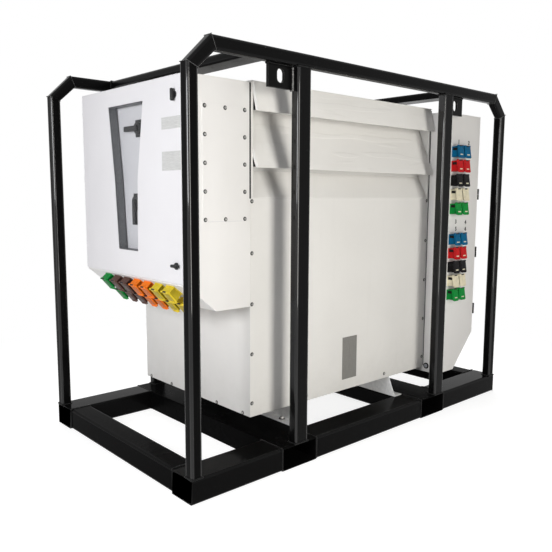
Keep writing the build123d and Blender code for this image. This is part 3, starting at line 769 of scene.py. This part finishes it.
class TRANSFORMER_OT_housing(bpy.types.Operator):
    """Fold the sheets of the housing and its vent hoods and paint them"""

    bl_idname = "transformer.housing"
    bl_label = "Ventilated housing"

    def execute(self, context):
        housing = context.scene.transformer_housing
        for node, finish in (
            ("transformer_housing", "inner_white"), ("housing_end_walls", "housing_white"),
            ("front_panel", "panel_white"), ("back_panel", "panel_white"), ("housing_roof", "housing_white"),
        ):
            dress(node, finish, housing.fold, 2)
        for node, side in (("front_vent_hoods", -1), ("back_vent_hoods", 1)):
            dress(node, "hood_white", housing.fold, 2, None,
                  lambda shape, side=side: self.add_returns(shape, side, housing.hood_return))
        self.add_end_shade(housing.hood_return)
        self.add_flanges()
        return {"FINISHED"}

    @staticmethod
    def add_returns(shape, side, fold):
        """Fold a return into each end of both hoods, and a hem along their lower edges."""
        low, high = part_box("front_vent_hoods")
        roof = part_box("housing_roof")[0].z
        far, near = -low.y, -high.y
        upper_edge = roof - HOOD_DROP
        lap, slim, sheet, thick, hem, clear = 0.010, 0.031, 0.003, 0.002, 0.012, 0.001
        lower_top = upper_edge + lap
        drop = (lower_top - low.z) / (far - near) * sheet
        face = far - sheet
        upper = ((face, upper_edge), (face - slim, roof - clear), (face - slim - fold, roof - clear),
                 (face - fold, upper_edge))
        lower = ((face, low.z), (near, lower_top - drop), (near, lower_top - drop - 2.2 * fold), (face - fold, low.z))
        for start in (low.x, high.x - thick):
            for outline in (upper, lower):
                add_prism(shape, [(side * reach, rise) for reach, rise in outline], start, start + thick)
        for z in (upper_edge, low.z):
            y = sorted((side * far, side * (far - hem)))
            add_block(shape, (low.x, y[0], z - 0.0015), (high.x, y[1], z + 0.0015), 0.0008)

    @staticmethod
    def add_end_shade(fold):
        """Stand dark sheets of painted shade in the open ends of the hoods."""
        low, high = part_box("front_vent_hoods")
        edge = -low.y - 0.0032 - fold
        thick, foot, width = 0.001, 0.002, 0.020
        shade_sheets = bmesh.new()
        for side in (-1, 1):
            for start in (low.x + 0.003, high.x - 0.004):
                for z, tall, lean in ((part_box("housing_roof")[0].z - HOOD_DROP, 0.080, 0.014), (low.z, 0.130, 0.040)):
                    outline = ((edge, z + foot), (edge - lean, z + tall), (edge - width, z + foot))
                    add_prism(shade_sheets, [(side * reach, rise) for reach, rise in outline], start, start + thick)
        stand(shade_sheets, "hood_end_screens", "seal_black", "black_plastic")

    @staticmethod
    def add_flanges():
        """Stand the corner flanges of the end walls, and beside them dark strips of painted shade in the gaps."""
        panel_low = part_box("front_panel")[0]
        top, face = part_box("housing_roof")[0].z, -panel_low.y
        left, right = (corner.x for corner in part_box("housing_end_walls"))
        flanges, seam_shade = bmesh.new(), bmesh.new()
        flange_top, seam_top = top - 0.001, top - 0.006
        for side in (-1, 1):
            y = sorted((side * (face - 0.004), side * (face + 0.0018)))
            for x in ((left + 0.0040, left + 0.0140), (right - 0.0115, right - 0.0005)):
                add_block(flanges, (x[0], y[0], PANEL_BEND), (x[1], y[1], flange_top), 0.0009)
            # painted shade: dark strips in the shaded gaps beside the flanges
            y = sorted((side * (face - 0.002), side * (face + 0.0014)))
            add_block(seam_shade, (left - 0.0045, y[0], PANEL_BEND - 0.004), (left + 0.0038, y[1], seam_top), 0.0004, 1)
            seam, half = side * (face + 0.0045), 0.0022
            add_block(seam_shade, (right - 0.0016, seam - half, panel_low.z + 0.01), (right + 0.0002, seam + half, seam_top),
                      0.0004, 1)
        stand(flanges, "housing_corner_flanges", "housing_white", "housing_paint")
        stand(seam_shade, "housing_seams", "seal_black", "black_plastic")


class TRANSFORMER_OT_feet(bpy.types.Operator):
    """Galvanise the angle feet of the housing"""

    bl_idname = "transformer.feet"
    bl_label = "Housing feet"

    def execute(self, context):
        dress("housing_feet", "galvanised", context.scene.transformer_housing.fold, 2)
        return {"FINISHED"}


class TRANSFORMER_OT_rating_plate(bpy.types.Operator):
    """Make the plain metal plate on the front panel, with ruled fields and rivets"""

    bl_idname = "transformer.rating_plate"
    bl_label = "Rating plate"

    def execute(self, context):
        dress("rating_plate", "plate_grey", 0.0004, 1, None, self.add_rules)
        return {"FINISHED"}

    @staticmethod
    def add_rules(shape):
        """Raise the rules between the blank fields, and a rivet in each corner."""
        low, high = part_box("rating_plate")
        outer, inner = low.y - 0.0006, low.y + 0.0004
        margin, half_rule, half_post, rivet = 0.007, 0.0012, 0.001, 0.006
        shares = (0.16, 0.30, 0.44, 0.58, 0.72, 0.86)
        levels = [low.z + (high.z - low.z) * share for share in shares]
        for z in levels:
            add_block(shape, (low.x + margin, outer, z - half_rule), (high.x - margin, inner, z + half_rule))
        middle = (low.x + high.x) / 2
        add_block(shape, (middle - half_post, outer, levels[1]), (middle + half_post, inner, levels[-1]))
        for x in (low.x + rivet, high.x - rivet):
            for z in (low.z + rivet, high.z - rivet):
                add_round(shape, (x, low.y + 0.0002, z), (0, -1, 0), 0.0032, 0.0016, 14, 0.0008)


class TRANSFORMER_OT_input_cabinet(bpy.types.Operator):
    """Finish the input cabinet, its side covers, its dead front, its seal and its sill lip"""

    bl_idname = "transformer.input_cabinet"
    bl_label = "Input cabinet"

    def execute(self, context):
        housing = context.scene.transformer_housing
        dress("input_cabinet", "cabinet_white", housing.fold, 3)
        dress("input_side_covers", "cabinet_white", housing.fold / 2, 2)
        dress("input_dead_front", "dead_front_grey", housing.fold / 2, 1)
        # seal between the cabinet's rim and the door
        low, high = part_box("input_door")
        inset, width = 0.001, 0.010
        x = (high.x + 0.0006, high.x + 0.0052)
        y_out, y_in = high.y - inset, high.y - width
        z_low, z_top = low.z + inset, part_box("input_cabinet")[1].z - inset
        seal = bmesh.new()
        for y_lo, y_hi, z_lo, z_hi in ((-y_out, y_out, z_top - width, z_top), (-y_out, -y_in, z_low, z_top - width),
                                       (y_in, y_out, z_low, z_top - width)):
            add_block(seal, (x[0], y_lo, z_lo), (x[1], y_hi, z_hi), 0.001)
        stand(seal, "input_door_seal", "seal_black", "black_plastic")
        # painted shade: a thin grey strip along the lower edges of the screwed plates on the side covers, for the shade
        # under their step
        cover_low, cover_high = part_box("input_side_covers")
        edges = bmesh.new()
        for side in (-1, 1):
            y = sorted((side * (cover_high.y - 0.001), side * (cover_high.y + 0.0003)))
            add_block(edges, (cover_low.x + 0.004, y[0], 1.0662), (cover_high.x - 0.002, y[1], 1.0674))
        stand(edges, "side_cover_edges", "dead_front_grey", "dead_front_paint")
        # folded lip on the sill, just under the door
        lip = bmesh.new()
        add_block(lip, (low.x + 0.0075, low.y + inset, low.z - 0.007), (high.x - 0.001, high.y - inset, low.z - 0.0015),
                  0.0008)
        stand(lip, "input_sill_lip", "cabinet_white", "cabinet_paint")
        return {"FINISHED"}


class TRANSFORMER_OT_input_door(bpy.types.Operator):
    """Finish the input door with its window, latches and blank plates"""

    bl_idname = "transformer.input_door"
    bl_label = "Input door"

    def execute(self, context):
        low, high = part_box("input_door")

        def outside(edge):
            """A test for edges on the rim of the door."""
            middle = (edge.verts[0].co + edge.verts[1].co) / 2
            return abs(middle.y) > high.y - 1e-4 or middle.z > high.z - 1e-4 or middle.z < low.z + 1e-4

        dress("input_door", "door_white", context.scene.transformer_housing.door_fold, 4, outside)
        dress("input_window_trim", "trim_grey", 0.0008, 2)
        dress("input_window_pane", "pane_clear", 0.0004, 1)
        for node in ("upper_door_latch", "lower_door_latch"):
            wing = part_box(node)[0].x + 0.012
            dress(node, "knob_black", 0.0055, 4,
                  lambda edge, wing=wing: min(vert.co.x for vert in edge.verts) < wing)
        plates = bmesh.new()
        for bottom, top in ((1.4310, 1.4780), (1.2690, 1.3440)):
            add_block(plates, (low.x - 0.0012, -0.4100, bottom), (low.x, -0.2730, top), 0.0005)
        stand(plates, "door_blank_plates", "blank_silver", "plate_metal", "input_door")
        return {"FINISHED"}


class TRANSFORMER_OT_breakers(bpy.types.Operator):
    """Finish the rotary breaker handles behind the window"""

    bl_idname = "transformer.breakers"
    bl_label = "Breaker handles"

    def execute(self, context):
        dress("breaker_escutcheons", "knob_black", 0.0015, 2)
        for node in ("upper_breaker_handle", "lower_breaker_handle"):
            dress(node, "knob_black", 0.0028, 3)
        return {"FINISHED"}


class TRANSFORMER_OT_hinges(bpy.types.Operator):
    """Finish the lift-off hinges of both doors and give them leaves"""

    bl_idname = "transformer.hinges"
    bl_label = "Door hinges"

    def execute(self, context):
        for node, reach in (("input_hinge_knuckles", 0.032), ("input_door_knuckles", -0.026),
                            ("output_hinge_knuckles", -0.004), ("output_door_knuckles", 0.034)):
            dress(node, "hinge_black", 0.0012, 2, None,
                  lambda shape, node=node, reach=reach: self.add_leaves(shape, node, reach))
        return {"FINISHED"}

    @staticmethod
    def add_leaves(shape, node, reach):
        """Lay a leaf beside each of three knuckles, flat on the sheet that carries it."""
        low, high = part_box(node)
        middle = (low + high) / 2
        thick, knuckle, leaf = 0.0025, 0.030, 0.028
        step = (high.z - low.z - knuckle) / 2
        for count in range(3):
            bottom = low.z + count * step + 0.001
            if node.startswith("input"):
                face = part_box("input_door")[1].y
                x = sorted((middle.x, middle.x + reach))
                add_block(shape, (x[0], face, bottom), (x[1], face + thick, bottom + leaf), 0.0006)
            else:
                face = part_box("output_door")[1].x
                y = sorted((middle.y, middle.y + reach))
                add_block(shape, (face, y[0], bottom), (face + thick, y[1], bottom + leaf), 0.0006)


class TRANSFORMER_OT_output_cabinet(bpy.types.Operator):
    """Finish the output cabinet, its door and latches, its receptacle plate and its plug"""

    bl_idname = "transformer.output_cabinet"
    bl_label = "Output cabinet"

    def execute(self, context):
        housing = context.scene.transformer_housing
        dress("output_cabinet", "cabinet_white", housing.fold, 3)
        dress("output_door", "cabinet_white", housing.door_fold, 4)
        dress("output_inner_panel", "dead_front_grey", housing.fold / 2, 1)
        # two latches like the input door's upper one, turned round and lowered onto the output door
        latches = bmesh.new()
        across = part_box("output_door")[1].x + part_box("input_door")[0].x
        for lowered in (-0.320, -0.960):
            copy = rounded_copy("upper_door_latch", 0.0025, 3)
            turn = Matrix.Translation((across, 0.090, lowered)) @ Matrix.Rotation(math.pi, 4, "Z")
            bmesh.ops.transform(copy, matrix=turn, verts=copy.verts)
            latch = bpy.data.meshes.new("latch")
            copy.to_mesh(latch)
            copy.free()
            latches.from_mesh(latch)
            bpy.data.meshes.remove(latch)
        stand(latches, "output_door_latches", "knob_black", "black_plastic", "output_door")
        dress("output_receptacle_plate", "cabinet_white", 0.0008, 2)
        dress("cabinet_plug", "knob_black", 0.0020, 3)
        low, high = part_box("cabinet_plug")
        middle, radius = (low + high) / 2, (high.z - low.z) / 2
        cap = bmesh.new()
        add_round(cap, (low.x, middle.y, middle.z), (-1, 0, 0), radius * 0.62, 0.0016, 28, 0.0008)
        stand(cap, "cabinet_plug_cap", "plug_steel", "plug_metal")
        return {"FINISHED"}


class TRANSFORMER_OT_receptacles(bpy.types.Operator):
    """Finish the receptacles: rounded flip covers with hinge pins, raised lids and finger lips"""

    bl_idname = "transformer.receptacles"
    bl_label = "Receptacles"

    def execute(self, context):
        # pins also takes the black side plates of painted shade on the bank
        pins, tabs = bmesh.new(), bmesh.new()
        for node, colour, places in (*self.slope_groups(), *self.bank_groups()):
            bodies = bmesh.new()
            sloped = node.startswith("input")

            def details(shape, colour=colour, places=places, bodies=bodies, sloped=sloped):
                for place in places:
                    self.add_details(shape, bodies, pins, tabs, place, colour, sloped)

            dress(node, f"socket_{colour}", 0.0014, 2, None, details)
            # on the slope, the darker copies are painted shade under the flip covers
            if sloped:
                stand(bodies, f"input_{colour}_bodies", f"body_{colour}", SLOT_OF[node])
            else:
                bodies.free()
        stand(pins, "receptacle_hinge_pins", "hinge_black", "hinge_black")
        stand(tabs, "receptacle_tabs", "socket_cream", "cream_socket")
        return {"FINISHED"}

    @staticmethod
    def placed(middle, across, up, side, rise):
        """The matrix of one receptacle on its face: X across, Y up and Z out."""
        turn = Matrix((across, up, across.cross(up))).transposed().to_4x4()
        return Matrix.Translation(middle + across * side + up * rise) @ turn

    @classmethod
    def slope_groups(cls):
        """The colours on the sloped underside of the input cabinet: seven columns of two."""
        middle = Vector((-0.9165, 0.0, 0.75425))
        across, up = Vector((0.0, -1.0, 0.0)), Vector((-0.135, 0.0, 0.1115)).normalized()
        pitch, shift, half_row = 0.0895, 0.020, 0.045
        for colour, columns in (("green", (0,)), ("brown", (1, 2)), ("orange", (3, 4)), ("yellow", (5, 6))):
            yield f"input_{colour}_receptacles", colour, [
                cls.placed(middle, across, up, (column - 3) * pitch + shift, row * half_row)
                for column in columns for row in (1, -1)]

    @classmethod
    def bank_groups(cls):
        """The colours on the front of the output cabinet: two banks of five rows, each row a pair."""
        low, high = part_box("output_receptacle_plate")
        middle = Vector(((low.x + high.x) / 2, low.y, 0.0))
        first, bank_pitch, row_pitch, half_pair = high.z - 0.081, 0.478, 0.0775, 0.0335
        for row, colour in enumerate(("blue", "red", "black", "cream", "green")):
            yield f"output_{colour}_receptacles", colour, [
                cls.placed(middle, Vector(ALONG_X), Vector(ALONG_Z), side * half_pair,
                           first - bank * bank_pitch - row * row_pitch)
                for bank in (0, 1) for side in (-1, 1)]

    @staticmethod
    def add_details(shape, bodies, pins, tabs, place, colour, sloped):
        """Lid, finger lip and hinge of one flip cover; on the slope, the lid and plates on the body sides in a darker
        copy of the colour, a painted shade; on the bank, black side plates of painted shade, and a pale tab.
        """
        tilt = math.atan2(0.010, 0.062)
        hinge_y, hinge_z, sides = 0.0330, 0.0355, 14
        across = place.to_3x3().col[0]
        lid = place @ Matrix.Translation((0.0, 0.001, 0.041)) @ Matrix.Rotation(-tilt, 4, "X")
        # on the slope the lid is painted in the darker copy too, a painted shade
        add_block(bodies if sloped else shape, (-0.0215, -0.021, -0.001), (0.0215, 0.021, 0.0016), 0.0010, 2, lid)
        add_block(shape, (-0.0180, -0.0340, -0.0032), (0.0180, -0.0270, 0.0034), 0.0012, 2, lid)
        for start in (-0.027, 0.013):
            add_round(shape, place @ Vector((start, hinge_y, hinge_z)), across, 0.0042, 0.014, sides, 0.0006)
        add_round(pins, place @ Vector((-0.013, hinge_y, hinge_z)), across, 0.0034, 0.026, sides)
        if sloped:
            # painted shade: plates of the darker copy over both sides of the body
            outline = ((0.021, 0.001), (0.027, 0.0305), (-0.025, 0.0392), (-0.025, 0.001))
            for edge in (-0.0247, 0.0240):
                add_prism(bodies, outline, edge, edge + 0.0007, place)
        else:
            # painted shade: black plates on both sides of each body, where the cover throws shade
            for edge in (-0.0246, 0.0238):
                add_block(pins, (edge, 0.008, 0.003), (edge + 0.0008, 0.0225, 0.031), 0.0, 1, place)
            if colour != "cream":
                add_block(tabs, (-0.012, -0.0185, 0.0012), (0.012, -0.0125, 0.0022), 0.0004, 1, lid)


class TRANSFORMER_OT_screws(bpy.types.Operator):
    """Drive the panel screws and the foot bolts"""

    bl_idname = "transformer.screws"
    bl_label = "Screws and bolts"

    def execute(self, context):
        housing = context.scene.transformer_housing
        tree = stud_tree()
        panel_low, panel_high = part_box("front_panel")
        cover_low, cover_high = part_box("input_side_covers")
        wall_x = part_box("housing_end_walls")[0].x
        inset, first, pitch, bottom = 0.007, 0.266, 0.2205, 0.228
        left, right = cover_low.x + 0.0125, cover_high.x - 0.0135
        screws = []
        for side in (-1, 1):
            way, face = (0, side, 0), side * -panel_low.y
            for x in (panel_low.x + inset, panel_high.x - inset):
                screws += [((x, face, first + pitch * step), way) for step in range(5)]
            screws += [((x, face, bottom), way) for x in (-0.3245, 0.2545)]
            face = side * cover_high.y
            for z in (1.075, 1.520):
                screws += [((x, face, z), way) for x in (left, (left + right) / 2, right)]
            for z in (1.187, 1.299, 1.410):
                screws += [((x, face, z), way) for x in (left, right)]
        screws += [((wall_x, y, 0.212), (-1, 0, 0)) for y in (0.394, 0.197, -0.191, -0.385)]
        self.fasten("panel_screw", tree, screws, housing.screw_washer, housing.screw_head, 0.0036)
        feet_low, feet_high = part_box("housing_feet")
        flange, inset = feet_low.z + 0.005, 0.030
        bolts = [((x, y, flange), ALONG_Z) for x in (feet_low.x + inset, feet_high.x - inset) for y in (-0.340, 0.340)]
        self.fasten("foot_bolt", tree, bolts, housing.bolt_washer, housing.bolt_head, 0.0085)
        return {"FINISHED"}

    @staticmethod
    def fasten(name, tree, places, washer, head, height):
        """Dark washers and lighter hexagon heads at the same places."""
        spots, ways = ([Vector(item) for item in column] for column in zip(*places))
        rise = height * 0.4
        grown(name + "_washers", tree, {
            "Sides": 20, "Radius": washer, "Taper": 0.88, "Height": rise, "Seed": 3,
            "Material": material("washer_dark")}, "plug_metal", spots, (), ways)
        raised = [spot + way * rise for spot, way in zip(spots, ways)]
        grown(name + "_heads", tree, {
            "Sides": 6, "Radius": head, "Taper": 0.84, "Height": height, "Seed": 4,
            "Material": material("screw_zinc")}, "plug_metal", raised, (), ways)


class TRANSFORMER_OT_numerals(bpy.types.Operator):
    """Put plain numerals beside the output receptacles"""

    bl_idname = "transformer.numerals"
    bl_label = "Plain numerals"

    def execute(self, context):
        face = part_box("output_cabinet")[0].y - 0.0024
        size, bold, half_thick, drop = 0.030, 0.0011, 0.0003, 0.011
        numerals = bmesh.new()
        for figure, x, z in (("1", 0.729, 1.472), ("2", 0.829, 1.471), ("3", 0.729, 1.034), ("4", 0.827, 1.029),
                             ("5", 0.732, 0.994), ("6", 0.829, 0.991)):
            curve = bpy.data.curves.new("figure", "FONT")
            curve.body, curve.size, curve.align_x = figure, size, "CENTER"
            curve.extrude, curve.offset = half_thick, bold
            holder = bpy.data.objects.new("figure", curve)
            context.scene.collection.objects.link(holder)
            graph = context.evaluated_depsgraph_get()
            mesh = bpy.data.meshes.new_from_object(holder.evaluated_get(graph), depsgraph=graph)
            mesh.transform(Matrix.Translation((x, face, z - drop)) @ Matrix.Rotation(math.pi / 2, 4, "X"))
            numerals.from_mesh(mesh)
            bpy.data.objects.remove(holder)
            bpy.data.meshes.remove(mesh)
            bpy.data.curves.remove(curve)
        stand(numerals, "output_numerals", "ink_grey", "black_plastic")
        return {"FINISHED"}


class TRANSFORMER_OT_stage(bpy.types.Operator):
    """Set the floor, the light and the camera"""

    bl_idname = "transformer.stage"
    bl_label = "Stage"

    def execute(self, context):
        scene = context.scene
        stage = scene.transformer_stage
        scene.view_settings.view_transform = "Standard"
        reach, level = 12.0, -0.0008
        mesh = bpy.data.meshes.new("floor")
        corners = ((-1, -1), (1, -1), (1, 1), (-1, 1))
        mesh.from_pydata([(x * reach, y * reach, level) for x, y in corners], [], [(0, 1, 2, 3)])
        mesh.materials.append(self.pale_floor())
        floor = bpy.data.objects.new("floor", mesh)
        scene.collection.objects.link(floor)
        scene.world = self.white_studio(stage.ambient)
        # a tall lamp in front, a wide one on the left, the same again behind, and a soft one overhead
        warm, cool, neutral = (1.0, 0.978, 0.925), (0.975, 0.980, 1.0), (1.0, 1.0, 1.0)
        for name, power, size, place, aim, colour in (
            ("key_lamp", stage.key_power, (1.0, 2.0), (-0.80, -3.7, 1.15), (-0.5, -0.4, 1.00), warm),
            ("side_lamp", stage.side_power, (1.5, 0.9), (-3.5, -0.95, 1.55), (-0.99, -0.1, 1.1), cool),
            ("back_lamp", stage.key_power, (1.6, 1.4), (0.75, 3.6, 2.65), (0.1, 0.4, 0.9), (1.0, 0.985, 0.955)),
            ("end_lamp", stage.side_power, (2.2, 2.0), (3.5, 1.5, 1.6), (0.99, 0.1, 1.0), cool),
            ("top_lamp", stage.top_power, (3.0, 2.0), (0.0, 0.3, 4.6), (0.0, 0.0, 1.0), neutral),
        ):
            lamp = bpy.data.lights.new(name, "AREA")
            lamp.shape = "RECTANGLE"
            lamp.size, lamp.size_y = size
            lamp.energy, lamp.color = power, colour
            holder = bpy.data.objects.new(name, lamp)
            scene.collection.objects.link(holder)
            holder.location = place
            holder.visible_glossy = place[1] < 0
            holder.rotation_euler = (Vector(aim) - Vector(place)).to_track_quat("-Z", "Y").to_euler()
        scene.camera = self.photo_camera(scene, stage)
        return {"FINISHED"}

    @classmethod
    def pale_floor(cls):
        """A pale floor that keeps the shadow near the object and is white further out."""
        pale = bpy.data.materials.new("floor_pale")
        pale.use_nodes = True
        tree = pale.node_tree
        tree.nodes.clear()
        place = lay(tree, "ShaderNodeTexCoord")
        length = lay(tree, "ShaderNodeVectorMath", [(0, place.outputs["Object"])], operation="LENGTH")
        fade = lay(tree, "ShaderNodeMapRange", [
            ("Value", length.outputs["Value"]), ("From Min", 1.5), ("From Max", 2.7)], interpolation_type="SMOOTHSTEP")
        shaded = lay(tree, "ShaderNodeBsdfDiffuse", [("Color", (0.34, 0.34, 0.34))])
        glow = lay(tree, "ShaderNodeEmission", [("Strength", 0.84)])
        near = lay(tree, "ShaderNodeAddShader", [(0, shaded.outputs[0]), (1, glow.outputs[0])])
        far = lay(tree, "ShaderNodeEmission", [("Strength", 1.0)])
        seen = lay(tree, "ShaderNodeMixShader", [
            (0, fade.outputs["Result"]), (1, near.outputs[0]), (2, far.outputs[0])])
        plain = lay(tree, "ShaderNodeBsdfDiffuse", [("Color", (0.85, 0.85, 0.85))])
        cls.end_by_ray(tree, "ShaderNodeOutputMaterial", plain, seen)
        return pale

    @classmethod
    def white_studio(cls, ambient):
        """A world that is white where it is seen, and an even soft light elsewhere."""
        world = bpy.data.worlds.new("studio")
        world.use_nodes = True
        tree = world.node_tree
        tree.nodes.clear()
        even = lay(tree, "ShaderNodeBackground", [("Color", (0.97, 0.98, 1.0)), ("Strength", ambient)])
        backdrop = lay(tree, "ShaderNodeBackground", [("Color", (1.0, 1.0, 1.0)), ("Strength", 1.0)])
        cls.end_by_ray(tree, "ShaderNodeOutputWorld", even, backdrop)
        return world

    @staticmethod
    def end_by_ray(tree, output, other, seen):
        """End a tree: one shader for camera, glossy and transmission rays, and the other for the rest."""
        rays = lay(tree, "ShaderNodeLightPath").outputs
        share = rays["Is Camera Ray"]
        for name in ("Is Glossy Ray", "Is Transmission Ray"):
            share = lay(tree, "ShaderNodeMath", [(0, share), (1, rays[name])], operation="MAXIMUM").outputs["Value"]
        chosen = lay(tree, "ShaderNodeMixShader", [(0, share), (1, other.outputs[0]), (2, seen.outputs[0])])
        lay(tree, output, [("Surface", chosen.outputs[0])])

    @staticmethod
    def photo_camera(scene, stage):
        """A camera with its aim, its roll about that aim, and a small shift of the frame."""
        data = bpy.data.cameras.new("photo_camera")
        data.sensor_width, data.lens = 36.0, stage.camera_lens
        data.shift_x, data.shift_y = -0.0245, -0.0025
        data.clip_start, data.clip_end = 0.05, 60.0
        camera = bpy.data.objects.new("photo_camera", data)
        scene.collection.objects.link(camera)
        aim = Vector(stage.camera_aim).normalized()
        level = aim.cross(Vector((0, 0, 1))).normalized()
        upright = level.cross(aim)
        right = level * math.cos(stage.camera_roll) + upright * math.sin(stage.camera_roll)
        turn = Matrix((right, right.cross(aim), -aim)).transposed().to_4x4()
        camera.matrix_world = Matrix.Translation(Vector(stage.camera_place)) @ turn
        return camera


OPERATORS = (
    TRANSFORMER_OT_skid, TRANSFORMER_OT_welds, TRANSFORMER_OT_housing, TRANSFORMER_OT_feet,
    TRANSFORMER_OT_rating_plate, TRANSFORMER_OT_input_cabinet, TRANSFORMER_OT_input_door,
    TRANSFORMER_OT_breakers, TRANSFORMER_OT_hinges, TRANSFORMER_OT_output_cabinet,
    TRANSFORMER_OT_receptacles, TRANSFORMER_OT_screws, TRANSFORMER_OT_numerals, TRANSFORMER_OT_stage,
)
GROUPS = (
    ("transformer_skid", SkidSettings), ("transformer_housing", HousingSettings),
    ("transformer_sockets", SocketSettings), ("transformer_stage", StageSettings),
)


class VIEW3D_PT_transformer(bpy.types.Panel):
    """Lists the settings and the pieces"""

    bl_idname = "VIEW3D_PT_transformer"
    bl_label = "Skid transformer"
    bl_space_type = "VIEW_3D"
    bl_region_type = "UI"
    bl_category = "Transformer"

    def draw(self, context):
        for holder, group in GROUPS:
            box = self.layout.box()
            for name in group.__annotations__:
                box.prop(getattr(context.scene, holder), name)
        for operator in OPERATORS:
            self.layout.operator(operator.bl_idname)


def register():
    for holder, group in GROUPS:
        bpy.utils.register_class(group)
        setattr(bpy.types.Scene, holder, bpy.props.PointerProperty(type=group))
    for cls in (*OPERATORS, VIEW3D_PT_transformer):
        bpy.utils.register_class(cls)


def unregister():
    for cls in reversed((*OPERATORS, VIEW3D_PT_transformer)):
        bpy.utils.unregister_class(cls)
    for holder, group in reversed(GROUPS):
        delattr(bpy.types.Scene, holder)
        bpy.utils.unregister_class(group)


def main():
    register()
    for operator in OPERATORS:
        group, name = operator.bl_idname.split(".")
        getattr(getattr(bpy.ops, group), name)()


if __name__ == "__main__":
    main()
